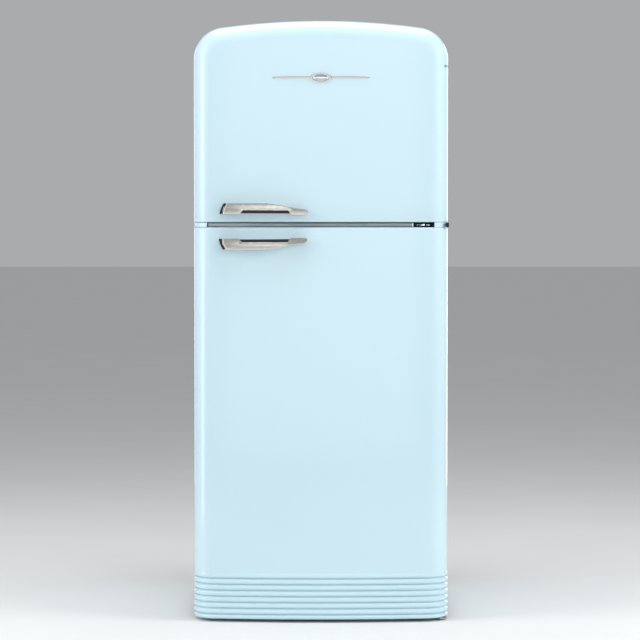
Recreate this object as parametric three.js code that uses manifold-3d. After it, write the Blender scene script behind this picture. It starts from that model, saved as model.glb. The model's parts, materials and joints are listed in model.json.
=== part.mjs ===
// A free-standing top freezer refrigerator in a 1950s style: two bowed doors on the right-hand side hinges,
// an arched top, die-cast lever handles and a ribbed base. Millimetres, +Z up, front towards -Y.
// The origin is on the floor, under the middle of the outer box.
import * as THREE from "three";
import { mergeVertices } from "three/addons/utils/BufferGeometryUtils.js";
import Module from "manifold-3d";

const wasm = await Module();
wasm.setup();

// ---------------------------------------------------------------- driving dimensions
const WIDTH = 796;
const HEIGHT = 1875;
const DEPTH = 769; // handles included
const FIT = 0.3; // gap between pieces that rest on each other

const HALF = WIDTH / 2;
const HANDLE_REACH = 40;
const DOOR_FRONT = -DEPTH / 2 + HANDLE_REACH; // at the middle of the door
const DOOR_BACK = -252;
const CABINET_FRONT = -240;
const CABINET_BACK = 370;
const REAR = DEPTH / 2;

const BOW_RADIUS = 3000; // the doors' bow, seen from above
const EDGE_ROLL = 62; // radius of the doors' outer edges
const TOP_CORNER = 100; // radius of the top corners, seen from the front
const TOP_ARCH = 2450;

const SKIRT_LOW = 9.5; // underside of the ribbed foot of the lower door
const SKIRT_HIGH = 155.2;
const RIB_COUNT = 8; // the lowest rib is a little lower than the others
const RIB_PITCH = 18.7;
const GAP_LOW = 1231; // top of the lower door
const GAP_HIGH = 1248.5; // bottom of the upper door
const CABINET_LOW = 30;

const STEEL = 1.2;
const SKIN = 1.5;
const LINER = 2.5;

const FRIDGE = { half: 338, low: 122, high: 1198, back: 300, humpY: 122, humpZ: 345 };
const FREEZER = { half: 334, low: 1284, high: 1790, back: 290 };
const MACHINE = { half: 380, front: 170, high: 300 }; // compressor bay at the lower rear

const HINGE = { x: 380, y: -282, pin: 5, bush: 9 };
const TOP_TONGUE = { low: 1732, high: 1736, slot: 4 };
const SEAL = { outer: 374, inner: 352 };

// ---------------------------------------------------------------- materials
const standard = (color, roughness, metalness, more = {}) =>
  new THREE.MeshStandardMaterial({ color, roughness, metalness, ...more });
const clear = { transparent: true, opacity: 0.4 };
const look = {
  enamel: standard(0xcfeaf4, 0.18, 0),
  satin: standard(0xc4bfb5, 0.3, 1),
  chrome: standard(0xdadcdd, 0.08, 1),
  steel: standard(0x9a9da0, 0.45, 1),
  zinc: standard(0xb4b8ba, 0.4, 1),
  liner: standard(0xf3f5f5, 0.35, 0),
  foam: standard(0xe8d9a8, 0.9, 0),
  rubber: standard(0xd9dcde, 0.7, 0),
  blackRubber: standard(0x1b1c1d, 0.8, 0),
  strip: standard(0xa9b0b2, 0.4, 0),
  display: standard(0x08090b, 0.1, 0),
  glass: standard(0xdff0ee, 0.05, 0, clear),
  clearPlastic: standard(0xe6eef0, 0.1, 0, clear),
  greyPlastic: standard(0x8d9396, 0.5, 0),
  blackEnamel: standard(0x17181a, 0.35, 0.6),
  lamp: standard(0xfbfdff, 0.3, 0),
};

// ---------------------------------------------------------------- solids: manifold-3d only cuts and joins
function toSolid(geometry) {
  const bare = new THREE.BufferGeometry();
  bare.setAttribute("position", geometry.getAttribute("position"));
  bare.setIndex(geometry.getIndex());
  const merged = mergeVertices(bare, 1e-3);
  const vertProperties = new Float32Array(merged.attributes.position.array);
  const triVerts = new Uint32Array(merged.index.array);
  return new wasm.Manifold(new wasm.Mesh({ numProp: 3, vertProperties, triVerts }));
}

function toGeometry(solid) {
  const mesh = solid.getMesh();
  const flat = new Float32Array(mesh.numVert * 3);
  for (let i = 0; i < mesh.numVert; i++) {
    const at = i * mesh.numProp;
    flat.set(mesh.vertProperties.subarray(at, at + 3), i * 3);
  }
  const geometry = new THREE.BufferGeometry();
  geometry.setAttribute("position", new THREE.BufferAttribute(flat, 3));
  geometry.setIndex(new THREE.BufferAttribute(new Uint32Array(mesh.triVerts), 1));
  geometry.computeVertexNormals();
  return geometry;
}

const join = (...parts) => toGeometry(parts.map(toSolid).reduce((a, b) => a.add(b)));
const cut = (from, ...tools) => toGeometry(tools.map(toSolid).reduce((a, b) => a.subtract(b), toSolid(from)));
const common = (a, b) => toGeometry(toSolid(a).intersect(toSolid(b)));

// ---------------------------------------------------------------- plain shapes
function box(x0, x1, y0, y1, z0, z1) {
  const made = new THREE.BoxGeometry(x1 - x0, y1 - y0, z1 - z0);
  return made.translate((x0 + x1) / 2, (y0 + y1) / 2, (z0 + z1) / 2);
}

// A cylinder along "x", "y" or "z", from one coordinate to another, round the point (a, b) of the other two.
function rod(axis, r, from, to, a, b, sides = 16) {
  const made = new THREE.CylinderGeometry(r, r, to - from, sides);
  const mid = (from + to) / 2;
  if (axis === "x") return made.rotateZ(Math.PI / 2).translate(mid, a, b);
  if (axis === "y") return made.translate(a, mid, b);
  return made.rotateX(Math.PI / 2).translate(a, b, mid);
}

// A body of revolution about +Z from a profile of [radius, height] points, closed on itself or on the axis.
function turned(profile, x, y, z, segments = 16) {
  const points = profile.map(([r, h]) => new THREE.Vector2(r, h));
  return new THREE.LatheGeometry(points, segments).rotateX(Math.PI / 2).translate(x, y, z);
}

const ring = (outer, inner, low, high) => [
  [inner, low],
  [outer, low],
  [outer, high],
  [inner, high],
  [inner, low],
];

const shapeOf = (points) => new THREE.Shape(points.map(([x, y]) => new THREE.Vector2(x, y)));

// A shape drawn in X and Z, extruded along Y.
function alongY(shape, y0, y1, segments = 6) {
  const settings = { depth: y1 - y0, bevelEnabled: false, curveSegments: segments };
  const made = new THREE.ExtrudeGeometry(shape, settings);
  return made.rotateX(Math.PI / 2).translate(0, y1, 0);
}

// A shape drawn in X and Y, extruded along Z.
function alongZ(shape, z0, z1) {
  const made = new THREE.ExtrudeGeometry(shape, { depth: z1 - z0, bevelEnabled: false });
  return made.translate(0, 0, z0);
}

// A shape drawn in Y and Z, extruded along X.
function alongX(shape, x0, x1) {
  const made = new THREE.ExtrudeGeometry(shape, { depth: x1 - x0, bevelEnabled: false });
  return made.rotateZ(Math.PI / 2).rotateY(Math.PI / 2).translate(x0, 0, 0);
}

// A rectangle in X and Z with rounded corners.
function roundedRect(x0, x1, z0, z1, r) {
  const shape = new THREE.Shape();
  shape.absarc(x1 - r, z0 + r, r, -Math.PI / 2, 0);
  shape.absarc(x1 - r, z1 - r, r, 0, Math.PI / 2);
  shape.absarc(x0 + r, z1 - r, r, Math.PI / 2, Math.PI);
  shape.absarc(x0 + r, z0 + r, r, Math.PI, Math.PI * 1.5);
  return shape;
}

// An open-topped tray or box with walls of one thickness.
function tray(x0, x1, y0, y1, z0, z1, wall) {
  const hollow = box(x0 + wall, x1 - wall, y0 + wall, y1 - wall, z0 + wall, z1 + 1);
  return cut(box(x0, x1, y0, y1, z0, z1), hollow);
}

// ---------------------------------------------------------------- the bowed and arched outlines
const CORNER_STEPS = 6;
const ARCH_STEPS = 10;

// Top edge of the outline, left to right, as [x, z, normal x, normal z].
function topEdge(cornerSteps = CORNER_STEPS, archSteps = ARCH_STEPS) {
  const archCentre = HEIGHT - TOP_ARCH;
  const cornerX = HALF - TOP_CORNER;
  const tilt = Math.asin(cornerX / (TOP_ARCH - TOP_CORNER));
  const cornerZ = archCentre + (TOP_ARCH - TOP_CORNER) * Math.cos(tilt);
  const points = [];
  const add = (cx, cz, r, angle) => {
    const nx = Math.cos(angle);
    const nz = Math.sin(angle);
    points.push([cx + r * nx, cz + r * nz, nx, nz]);
  };
  for (let i = 0; i < cornerSteps; i++) {
    add(-cornerX, cornerZ, TOP_CORNER, Math.PI - (i / cornerSteps) * (Math.PI / 2 - tilt));
  }
  for (let i = 0; i <= archSteps; i++) {
    add(0, archCentre, TOP_ARCH, Math.PI / 2 + tilt - (i / archSteps) * 2 * tilt);
  }
  for (let i = 1; i <= cornerSteps; i++) {
    add(cornerX, cornerZ, TOP_CORNER, Math.PI / 2 - tilt - (i / cornerSteps) * (Math.PI / 2 - tilt));
  }
  return points;
}

// The cabinet's outline from one lower corner over the top to the other, moved inwards by inset.
function outline(inset, low) {
  const top = topEdge().map(([x, z, nx, nz]) => [x - nx * inset, z - nz * inset]);
  return [[-(HALF - inset), low], ...top, [HALF - inset, low]];
}

const bow = (x) => DOOR_FRONT + (x * x) / (2 * BOW_RADIUS);

// Plan of a door: flat back, rolled edges and bowed front, for a surface moved inwards by inset.
function doorPlan(inset, back, rollSteps = 6, bowSteps = 8) {
  const roll = EDGE_ROLL - inset;
  const half = HALF - inset;
  const left = [];
  for (let i = 0; i <= rollSteps; i++) {
    const angle = (i / rollSteps) * (Math.PI / 2);
    const x = -half + roll * (1 - Math.cos(angle));
    left.push([x, bow(x) + inset + roll * (1 - Math.sin(angle))]);
  }
  const flat = [];
  const span = half - roll;
  for (let i = 1; i < bowSteps; i++) {
    const x = -span + (2 * span * i) / bowSteps;
    flat.push([x, bow(x) + inset]);
  }
  const right = left.map(([x, y]) => [-x, y]).reverse();
  return shapeOf([[-half, back], ...left, ...flat, ...right, [half, back]]);
}

// The upper door's solid: the arched outline, its edge rolled over, bowed, closed by a flat back and bottom.
// Each ring holds the top edge from left to right and then the bottom edge back again.
function archedDoor(inset, low, back, rollSteps) {
  const roll = EDGE_ROLL - inset;
  const edge = topEdge();
  const rings = [];
  for (let k = -1; k <= rollSteps; k++) {
    const angle = (Math.max(k, 0) / rollSteps) * (Math.PI / 2);
    const inwards = inset + roll * (1 - Math.cos(angle));
    const top = edge.map(([x, z, nx, nz]) => {
      const at = x - nx * inwards;
      const y = k < 0 ? back : bow(at) + inset + roll * (1 - Math.sin(angle));
      return [at, y, z - nz * inwards];
    });
    const bottom = top.map(([x, y]) => [x, y, low]).reverse();
    rings.push([...top, ...bottom]);
  }
  const n = rings[0].length;
  const index = [];
  const quad = (a, b, c, d) => index.push(a, c, b, a, d, c);
  for (let k = 0; k + 1 < rings.length; k++) {
    for (let i = 0; i < n; i++) {
      const next = (i + 1) % n;
      quad(k * n + i, k * n + next, (k + 1) * n + next, (k + 1) * n + i);
    }
  }
  const front = (rings.length - 1) * n;
  for (let i = 0; i + 1 < n / 2; i++) {
    quad(n - 1 - i, n - 2 - i, i + 1, i);
    quad(front + i, front + i + 1, front + n - 2 - i, front + n - 1 - i);
  }
  const geometry = new THREE.BufferGeometry();
  geometry.setAttribute("position", new THREE.Float32BufferAttribute(rings.flat(2), 3));
  geometry.setIndex(index);
  return geometry;
}

// A thin piece that lies on the doors' bowed front: its outline in X and Z, and its thickness.
function onDoorFront(shape, thickness, x0, x1, z0, z1) {
  const steps = 8;
  const near = [];
  const far = [];
  for (let i = 0; i <= steps; i++) {
    const x = x0 + ((x1 - x0) * i) / steps;
    near.push([x, bow(x) - FIT - thickness]);
    far.push([x, bow(x) - FIT]);
  }
  const band = alongZ(shapeOf([...near, ...far.reverse()]), z0, z1);
  return common(alongY(shape, DOOR_FRONT - 60, DOOR_FRONT + 60), band);
}

// ---------------------------------------------------------------- the scene graph
const refrigerator = new THREE.Group();
refrigerator.name = "top_freezer_refrigerator";
const groups = {};
for (const name of ["cabinet", "interior", "cooling", "freezer_door", "fridge_door", "feet"]) {
  groups[name] = new THREE.Group();
  groups[name].name = name;
  refrigerator.add(groups[name]);
}

function piece(group, name, geometry, material) {
  const mesh = new THREE.Mesh(geometry, material);
  mesh.name = name;
  groups[group].add(mesh);
  return mesh;
}

// ---------------------------------------------------------------- hinges
const slotLow = TOP_TONGUE.low - TOP_TONGUE.slot;
const slotHigh = TOP_TONGUE.high + TOP_TONGUE.slot;
const TONGUE = { left: 375.5, right: 387.5, lobe: 10 };
const MIDDLE_PLATE = { low: GAP_LOW + 1.5, high: GAP_HIGH - 1.5 };
const BOTTOM_PLATE = { low: 3, high: 8 };
const pin = (z0, z1) => rod("z", HINGE.pin, z0, z1, HINGE.x, HINGE.y);
const pinHole = (z0, z1) => rod("z", HINGE.pin + FIT, z0, z1, HINGE.x, HINGE.y);

const betweenDoors = (inset, low, high) => alongZ(doorPlan(inset, CABINET_FRONT - FIT), low, high);

function addHinges() {
  const lobe = (z0, z1, r) => rod("z", r, z0, z1, HINGE.x, HINGE.y, 20);
  const topPlate = box(TONGUE.left, TONGUE.right, HINGE.y, -236, TOP_TONGUE.low, TOP_TONGUE.high);
  const topMount = box(350, 392, -238.4, -234.4, 1704, 1762);
  const topBody = join(topPlate, lobe(TOP_TONGUE.low, TOP_TONGUE.high, TONGUE.lobe), topMount);
  const topBore = pinHole(TOP_TONGUE.low - 1, TOP_TONGUE.high + 1);
  piece("cabinet", "top_hinge_bracket", cut(topBody, topBore), look.zinc);
  piece("cabinet", "top_hinge_pin", pin(TOP_TONGUE.low - 2, 1755), look.zinc);

  const { low, high } = MIDDLE_PLATE;
  const cover = common(betweenDoors(3, low, high), box(353, 390, -400, -240.3, low - 1, high + 1));
  const mount = box(355, 396, -243.3, -240.3, GAP_LOW - 4, GAP_HIGH + 4);
  const middle = join(cover, mount);
  piece("cabinet", "middle_hinge_bracket", cut(middle, pinHole(low - 1, high + 1)), look.enamel);
  piece("cabinet", "middle_hinge_pin", pin(GAP_LOW - 15, GAP_HIGH + 15), look.zinc);

  const plate = box(362, 394, HINGE.y, -240.3, BOTTOM_PLATE.low, BOTTOM_PLATE.high);
  const stand = box(350, 394, -243.5, -240.3, BOTTOM_PLATE.low, 84);
  const bottom = join(plate, lobe(BOTTOM_PLATE.low, BOTTOM_PLATE.high, 13), stand);
  const bore = pinHole(BOTTOM_PLATE.low - 1, BOTTOM_PLATE.high + 1);
  piece("cabinet", "bottom_hinge_bracket", cut(bottom, bore), look.zinc);
  piece("cabinet", "bottom_hinge_pin", pin(2, 30), look.zinc);
}

// Bushes that turn on the pins, [name, door group, low, high].
const BUSHES = [
  ["freezer_door_bush_top", "freezer_door", slotHigh + 0.5, 1757],
  ["freezer_door_bush_bottom", "freezer_door", GAP_HIGH + 0.2, GAP_HIGH + 18],
  ["fridge_door_bush_top", "fridge_door", GAP_LOW - 18, GAP_LOW - 0.2],
  ["fridge_door_bush_bottom", "fridge_door", SKIRT_LOW + 0.2, 33],
];

function addBushes() {
  for (const [name, group, low, high] of BUSHES) {
    const profile = ring(HINGE.bush, HINGE.pin + FIT, low, high);
    piece(group, name, turned(profile, HINGE.x, HINGE.y, 0, 16), look.greyPlastic);
  }
}

const bushHole = (low, high) => rod("z", HINGE.bush + FIT, low, high, HINGE.x, HINGE.y);

// The pocket that the top hinge's tongue turns in: open at the door's back and right-hand edge.
function tonguePocket() {
  const front = HINGE.y - 14;
  return box(HINGE.x - 15, HALF + 5, front, DOOR_BACK + 20, slotLow, slotHigh);
}

// ---------------------------------------------------------------- doors
const PLATE_FRONT = DOOR_BACK - 3.3; // front of the inner panel's plate
const CORE_BACK = PLATE_FRONT - FIT;

// Inner panel: a plate that closes the door's back, with a raised border round the shelves' space.
function innerPanel(half, low, high, dyke) {
  const plate = box(-half, half, PLATE_FRONT, DOOR_BACK - FIT, low, high);
  const rim = roundedRect(-dyke.half, dyke.half, dyke.low, dyke.high, 24);
  rim.holes.push(roundedRect(-dyke.half + 18, dyke.half - 18, dyke.low + 18, dyke.high - 18, 12));
  return join(plate, alongY(rim, PLATE_FRONT + 1, dyke.back, 3));
}

function gasket(low, high, band, radius) {
  const seal = roundedRect(-SEAL.outer, SEAL.outer, low, high, radius);
  const width = SEAL.outer - SEAL.inner;
  seal.holes.push(roundedRect(-SEAL.inner, SEAL.inner, low + band, high - band, Math.max(radius - width, 6)));
  return alongY(seal, DOOR_BACK + 0.1, CABINET_FRONT - FIT, 5);
}

// Front view of a handle: its flat edge lies on z = 0 and faces the other door, and has the finger notch.
const HANDLE = { length: 274, height: 34, drop: 2.5, notch: [62, 74, 211, 222], notchDepth: 11, wall: 13 };

function handleFace() {
  const { length, height, drop, notch, notchDepth } = HANDLE;
  const shape = new THREE.Shape();
  shape.moveTo(0, 0);
  shape.lineTo(notch[0], 0);
  shape.lineTo(notch[1], notchDepth);
  shape.lineTo(notch[2], notchDepth - 1);
  shape.lineTo(notch[3], -drop / 2);
  shape.lineTo(notch[3] + 8, -drop);
  shape.lineTo(length - 13, -drop);
  shape.quadraticCurveTo(length, -drop, length, 5);
  shape.quadraticCurveTo(length - 2, 13, length - 15, 15.5);
  shape.quadraticCurveTo(length - 35, 17, length - 44, 19);
  shape.bezierCurveTo(length - 90, 29, 165, height, 118, height);
  shape.lineTo(18, height);
  shape.quadraticCurveTo(7, height / 2, 0, 0);
  return shape;
}

// Plan of a handle: feet on the door, and a grip that stands clear of it between them.
function handlePlan(left) {
  const { length, notch, wall } = HANDLE;
  const peak = -DEPTH / 2;
  const steps = 12;
  const rise = (t) => Math.sin(Math.PI * (0.16 + 0.7 * t));
  const front = [];
  for (let i = 0; i <= steps; i++) {
    const t = i / steps;
    front.push([left + t * length, peak + 22 * (1 - rise(t))]);
  }
  const onDoor = (x) => [left + x, bow(left + x) - FIT];
  const behind = (x) => [left + x, peak + wall + 22 * (1 - rise(x / length))];
  const back = [onDoor(length), onDoor(notch[3]), behind(notch[2] - 12), behind(142)];
  back.push(behind(notch[1] + 12), onDoor(notch[0]), onDoor(0));
  return shapeOf([...front, ...back]);
}

function handle(left, flatZ) {
  const face = alongY(handleFace(), DOOR_FRONT - 60, DOOR_FRONT + 60, 5).translate(left, 0, 0);
  return common(face, alongZ(handlePlan(left), -5, HANDLE.height + 1)).translate(0, 0, flatZ);
}

// The lower door's handle is the upper one's mirror image.
function mirroredHandle(left, flatZ) {
  const made = handle(left, 0);
  made.scale(1, 1, -1);
  const index = made.getIndex().array;
  for (let i = 0; i < index.length; i += 3) {
    [index[i + 1], index[i + 2]] = [index[i + 2], index[i + 1]];
  }
  made.computeVertexNormals();
  return made.translate(0, 0, flatZ);
}

const BINS = { half: 305, front: DOOR_BACK + 2, back: -152, wall: 2.5 };

function doorBin(low, high, back = BINS.back) {
  return tray(-BINS.half, BINS.half, BINS.front, back, low, high, BINS.wall);
}

function badge() {
  const z = 1695;
  const half = 152;
  const shape = new THREE.Shape();
  shape.moveTo(-half, z);
  shape.lineTo(-half + 8, z - 4);
  shape.lineTo(-34, z - 4);
  shape.quadraticCurveTo(0, z - 28, 34, z - 4);
  shape.lineTo(half - 8, z - 4);
  shape.lineTo(half, z);
  shape.lineTo(half - 8, z + 4);
  shape.lineTo(34, z + 4);
  shape.quadraticCurveTo(0, z + 28, -34, z + 4);
  shape.lineTo(-half + 8, z + 4);
  shape.lineTo(-half, z);
  return onDoorFront(shape, 3, -half - 2, half + 2, z - 20, z + 20);
}

function addFreezerDoor() {
  const group = "freezer_door";
  const holeLow = bushHole(GAP_HIGH - 2, GAP_HIGH + 18.5);
  const holeHigh = bushHole(slotHigh - 1, 1757.5);
  const outer = archedDoor(0, GAP_HIGH, DOOR_BACK, 6);
  const inner = archedDoor(SKIN, GAP_HIGH + SKIN, DOOR_BACK + 10, 6);
  piece(group, "freezer_door_skin", cut(outer, inner, tonguePocket(), holeLow), look.enamel);
  const core = archedDoor(SKIN + FIT, GAP_HIGH + SKIN + FIT, CORE_BACK, 3);
  piece(group, "freezer_door_core", cut(core, tonguePocket(), holeLow, holeHigh), look.foam);

  const dyke = { half: 326, low: 1292, high: 1782, back: -206 };
  const square = innerPanel(HALF - SKIN - FIT, GAP_HIGH + SKIN + FIT, HEIGHT, dyke);
  const trimmed = common(square, archedDoor(SKIN + FIT, GAP_HIGH, DOOR_BACK + 200, 3));
  piece(group, "freezer_door_liner", cut(trimmed, tonguePocket()), look.liner);
  piece(group, "freezer_door_gasket", gasket(GAP_HIGH + 6, 1817, 20.5, 54), look.rubber);
  piece(group, "freezer_door_bin_lower", doorBin(1316, 1392), look.clearPlastic);
  piece(group, "freezer_door_bin_upper", doorBin(1560, 1626), look.clearPlastic);
  piece(group, "freezer_door_handle", handle(-313.5, 1273), look.satin);
  piece(group, "badge", badge(), look.chrome);
}

// The ribbed base: a stack of slabs with bevelled edges, hollowed from behind and above.
function ribbedBase() {
  const depth = 2.6;
  const slabs = [];
  for (let i = 0; i < RIB_COUNT; i++) {
    const low = i ? SKIRT_HIGH - (RIB_COUNT - i) * RIB_PITCH : SKIRT_LOW;
    const high = SKIRT_HIGH - (RIB_COUNT - i - 1) * RIB_PITCH;
    const bevels = { bevelThickness: depth, bevelSize: depth, bevelSegments: 1 };
    const settings = { depth: high - low - 2 * depth, ...bevels };
    const slab = new THREE.ExtrudeGeometry(doorPlan(depth - 0.5, DOOR_BACK - depth, 6, 8), settings);
    slabs.push(slab.translate(0, 0, low + depth));
  }
  const neck = alongZ(doorPlan(depth, DOOR_BACK, 6, 8), SKIRT_LOW + 1, SKIRT_HIGH - 1);
  const hollow = alongZ(doorPlan(depth + 3, DOOR_BACK + 10, 6, 8), SKIRT_LOW + 3, SKIRT_HIGH + 2);
  const behind = box(-HALF - 5, HALF + 5, DOOR_BACK, DOOR_BACK + 30, 0, SKIRT_HIGH + 5);
  return cut(join(...slabs, neck), hollow, behind, bushHole(0, 60));
}

function addFridgeDoor() {
  const group = "fridge_door";
  const low = SKIRT_HIGH + FIT;
  const hole = bushHole(GAP_LOW - 18.5, GAP_LOW + 2);
  const shell = alongZ(doorPlan(0, DOOR_BACK), low, GAP_LOW);
  const inside = alongZ(doorPlan(SKIN, DOOR_BACK + 10), low - 10, GAP_LOW - SKIN);
  piece(group, "fridge_door_skin", cut(shell, inside, hole), look.enamel);
  piece(group, "fridge_door_base", ribbedBase(), look.enamel);

  const upper = alongZ(doorPlan(SKIN + FIT, CORE_BACK, 3, 4), low + 4, GAP_LOW - SKIN - FIT);
  const lower = alongZ(doorPlan(6, CORE_BACK, 3, 4), SKIRT_LOW + 3 + FIT, low + 6);
  const core = cut(join(upper, lower), hole, bushHole(0, 33.5));
  piece(group, "fridge_door_core", core, look.foam);

  const dyke = { half: 330, low: 128, high: 1190, back: -206 };
  const panel = innerPanel(HALF - 6, SKIRT_LOW + 3 + FIT, GAP_LOW - SKIN - FIT, dyke);
  piece(group, "fridge_door_liner", panel, look.liner);
  piece(group, "fridge_door_gasket", gasket(98, GAP_LOW - 6, 20, 30), look.rubber);
  piece(group, "bottle_bin", doorBin(504, 600), look.clearPlastic);
  piece(group, "door_balcony", doorBin(750, 826), look.clearPlastic);
  piece(group, "dairy_tray", doorBin(960, 1010), look.clearPlastic);
  piece(group, "fridge_door_handle", mirroredHandle(-316, 1197.5), look.satin);
}

// The dairy shelf's flap swings up about a pin line along its upper back edge.
const LID = { y: -238, z: 1100 };
const LID_LOW = LID.z - 87;

function addDairyLid() {
  const wall = 2.5;
  const outer = shapeOf([
    [LID.y - 6, LID.z + 5],
    [LID.y - 6, LID.z - 5],
    [-158, LID_LOW],
    [-153, LID_LOW],
    [-157, LID_LOW + 57],
    [-176, LID.z + 5],
  ]);
  const solid = alongX(outer, -BINS.half, BINS.half);
  const inner = shapeOf([
    [-270, LID.z + 2.5],
    [-270, LID_LOW - 113],
    [-156, LID_LOW - 113],
    [-160, LID_LOW + 57],
    [-178, LID.z + 2.5],
  ]);
  const hollow = alongX(inner, -BINS.half + wall, BINS.half - wall);
  piece("fridge_door", "dairy_lid", cut(solid, hollow), look.clearPlastic);
}

// ---------------------------------------------------------------- cabinet
const RAIL = { depth: 7, height: 6, front: -125 };
const SHELF_THICK = 4;
const FRIDGE_SHELVES = { shelf_upper: 1000, shelf_middle: 810, shelf_lower: 500 };
const BOTTLE_RACK_Z = 655;
const COVER_Z = 346; // the crisper's glass cover, level with the top of the hump
const FREEZER_SHELF_Z = 1530;

function rails(half, heights, back) {
  const made = [];
  for (const z of heights) {
    for (const side of [-1, 1]) {
      const inner = side * (half - RAIL.depth);
      const outer = side * (half + 1);
      const [x0, x1] = [Math.min(inner, outer), Math.max(inner, outer)];
      made.push(box(x0, x1, RAIL.front, back, z - RAIL.height - FIT, z - FIT));
    }
  }
  return made;
}

function fridgeProfile(grow) {
  const { low, high, back, humpY, humpZ } = FRIDGE;
  const front = CABINET_FRONT - (grow > 0 ? 0 : 5);
  return shapeOf([
    [front, low - grow],
    [humpY + grow, low - grow],
    [humpY + grow, humpZ - grow],
    [back + grow, humpZ - grow],
    [back + grow, high + grow],
    [front, high + grow],
  ]);
}

function addCabinet() {
  const skin = [...outline(0, CABINET_LOW), ...outline(STEEL, CABINET_LOW).reverse()];
  const wrap = alongY(shapeOf(skin), CABINET_FRONT, CABINET_BACK);
  const face = shapeOf(outline(0.4, CABINET_LOW));
  const hole = LINER + 0.8;
  const { half, low, high } = FRIDGE;
  const cold = FREEZER;
  const windowOf = (c) => roundedRect(-c.half - hole, c.half + hole, c.low - hole, c.high + hole, 1);
  face.holes.push(windowOf({ half, low, high }), windowOf(cold));
  const flange = alongY(face, CABINET_FRONT, CABINET_FRONT + STEEL, 1);
  const { left, right } = TONGUE;
  const tongueSlot = box(left - 2, right + 2, -250, -230, TOP_TONGUE.low - 2, TOP_TONGUE.high + 2);
  piece("cabinet", "cabinet_shell", cut(join(wrap, flange), tongueSlot), look.enamel);

  const gap = LINER + FIT;
  const solidFoam = alongY(shapeOf(outline(STEEL + 0.4, 34)), CABINET_FRONT + STEEL + FIT, CABINET_BACK - FIT);
  const fridgeRoom = alongX(fridgeProfile(gap), -half - gap, half + gap);
  const fridgeMouth = box(-half - gap, half + gap, -250, -200, low - gap, high + gap);
  const freezerRoom = box(-cold.half - gap, cold.half + gap, -250, cold.back + gap, cold.low - gap, cold.high + gap);
  const bay = box(-MACHINE.half, MACHINE.half, MACHINE.front, CABINET_BACK + 5, 0, MACHINE.high);
  const hingePocket = box(348, 394, -242, -234, 1702, 1764);
  const stems = [-1, 1].map((side) => rod("z", 9, 0, 66, side * FOOT.x, FOOT.y));
  const foam = cut(solidFoam, fridgeRoom, fridgeMouth, freezerRoom, bay, hingePocket, ...stems);
  piece("cabinet", "cabinet_insulation", foam, look.foam);

  const fridgeOuter = alongX(fridgeProfile(LINER), -half - LINER, half + LINER);
  const fridgeInner = alongX(fridgeProfile(0), -half, half);
  const shelfHeights = [...Object.values(FRIDGE_SHELVES), BOTTLE_RACK_Z, FRESH.runner];
  const fridgeShell = cut(fridgeOuter, fridgeInner);
  const lowRails = rails(half, [COVER_Z, CRISPER.runner], FRIDGE.humpY + 1);
  const fridgeRails = rails(half, shelfHeights, FRIDGE.back + 1);
  piece("cabinet", "fridge_liner", join(fridgeShell, ...fridgeRails, ...lowRails), look.liner);

  const freezerOuter = box(
    -cold.half - LINER,
    cold.half + LINER,
    CABINET_FRONT,
    cold.back + LINER,
    cold.low - LINER,
    cold.high + LINER,
  );
  const freezerInner = box(-cold.half, cold.half, -250, cold.back, cold.low, cold.high);
  const freezerRails = rails(cold.half, [FREEZER_SHELF_Z], COVER_PLATE.front - 1);
  piece("cabinet", "freezer_liner", join(cut(freezerOuter, freezerInner), ...freezerRails), look.liner);

  const back = alongY(shapeOf(outline(1, MACHINE.high - 6)), CABINET_BACK + FIT, CABINET_BACK + FIT + STEEL);
  piece("cabinet", "back_panel", back, look.zinc);
}

// ---------------------------------------------------------------- base, feet and rollers
const FOOT = { x: 345, y: -205, pad: 21, stem: 6 };
const ROLLER = { x: 322, y: 318, r: 19, width: 22, axle: 4 };
const TRAY = { low: 30.3, high: 33.3 };

function addBase() {
  const plate = box(-HALF + 2, HALF - 2, CABINET_FRONT + 2, CABINET_BACK - 1, TRAY.low, TRAY.high);
  const parts = [plate];
  for (const side of [-1, 1]) {
    const middle = side * ROLLER.x;
    const reach = ROLLER.width / 2 + 2;
    for (const ear of [-1, 1]) {
      const x = middle + ear * (reach + 2);
      parts.push(box(x - 2, x + 2, ROLLER.y - 9, ROLLER.y + 9, ROLLER.r - 8, TRAY.low + 1));
    }
    parts.push(rod("x", ROLLER.axle, middle - reach - 3, middle + reach + 3, ROLLER.y, ROLLER.r, 12));
  }
  const holes = [-1, 1].map((side) => rod("z", FOOT.stem + 0.6, 0, 60, side * FOOT.x, FOOT.y, 12));
  const wells = [-1, 1].map((side) => {
    const middle = side * ROLLER.x;
    const reach = ROLLER.width / 2 + 1.5;
    return box(middle - reach, middle + reach, ROLLER.y - 22, ROLLER.y + 22, TRAY.low - 2, TRAY.high + 8);
  });
  const strips = parts.slice(1);
  piece("cabinet", "base_tray", join(cut(plate, ...holes, ...wells), ...strips), look.zinc);

  for (const [word, side] of [["left", -1], ["right", 1]]) {
    const profile = [
      [0, 0],
      [FOOT.pad - 2, 0],
      [FOOT.pad, 2],
      [FOOT.pad, 10],
      [FOOT.pad - 6, 13],
      [FOOT.stem, 13],
      [FOOT.stem, 60],
      [0, 60],
    ];
    piece("feet", "front_foot_" + word, turned(profile, side * FOOT.x, FOOT.y, 0, 16), look.blackRubber);
    const half = ROLLER.width / 2;
    const wheel = turned(ring(ROLLER.r, ROLLER.axle + FIT, -half, half), 0, 0, 0, 24).rotateY(Math.PI / 2);
    const at = [side * ROLLER.x, ROLLER.y, ROLLER.r];
    piece("feet", "rear_roller_" + word, wheel.translate(...at), look.greyPlastic);
  }
}

// ---------------------------------------------------------------- between the doors
const STRIP = { left: -352, right: 285, low: 1233, high: 1246.5, front: -296 };

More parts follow.
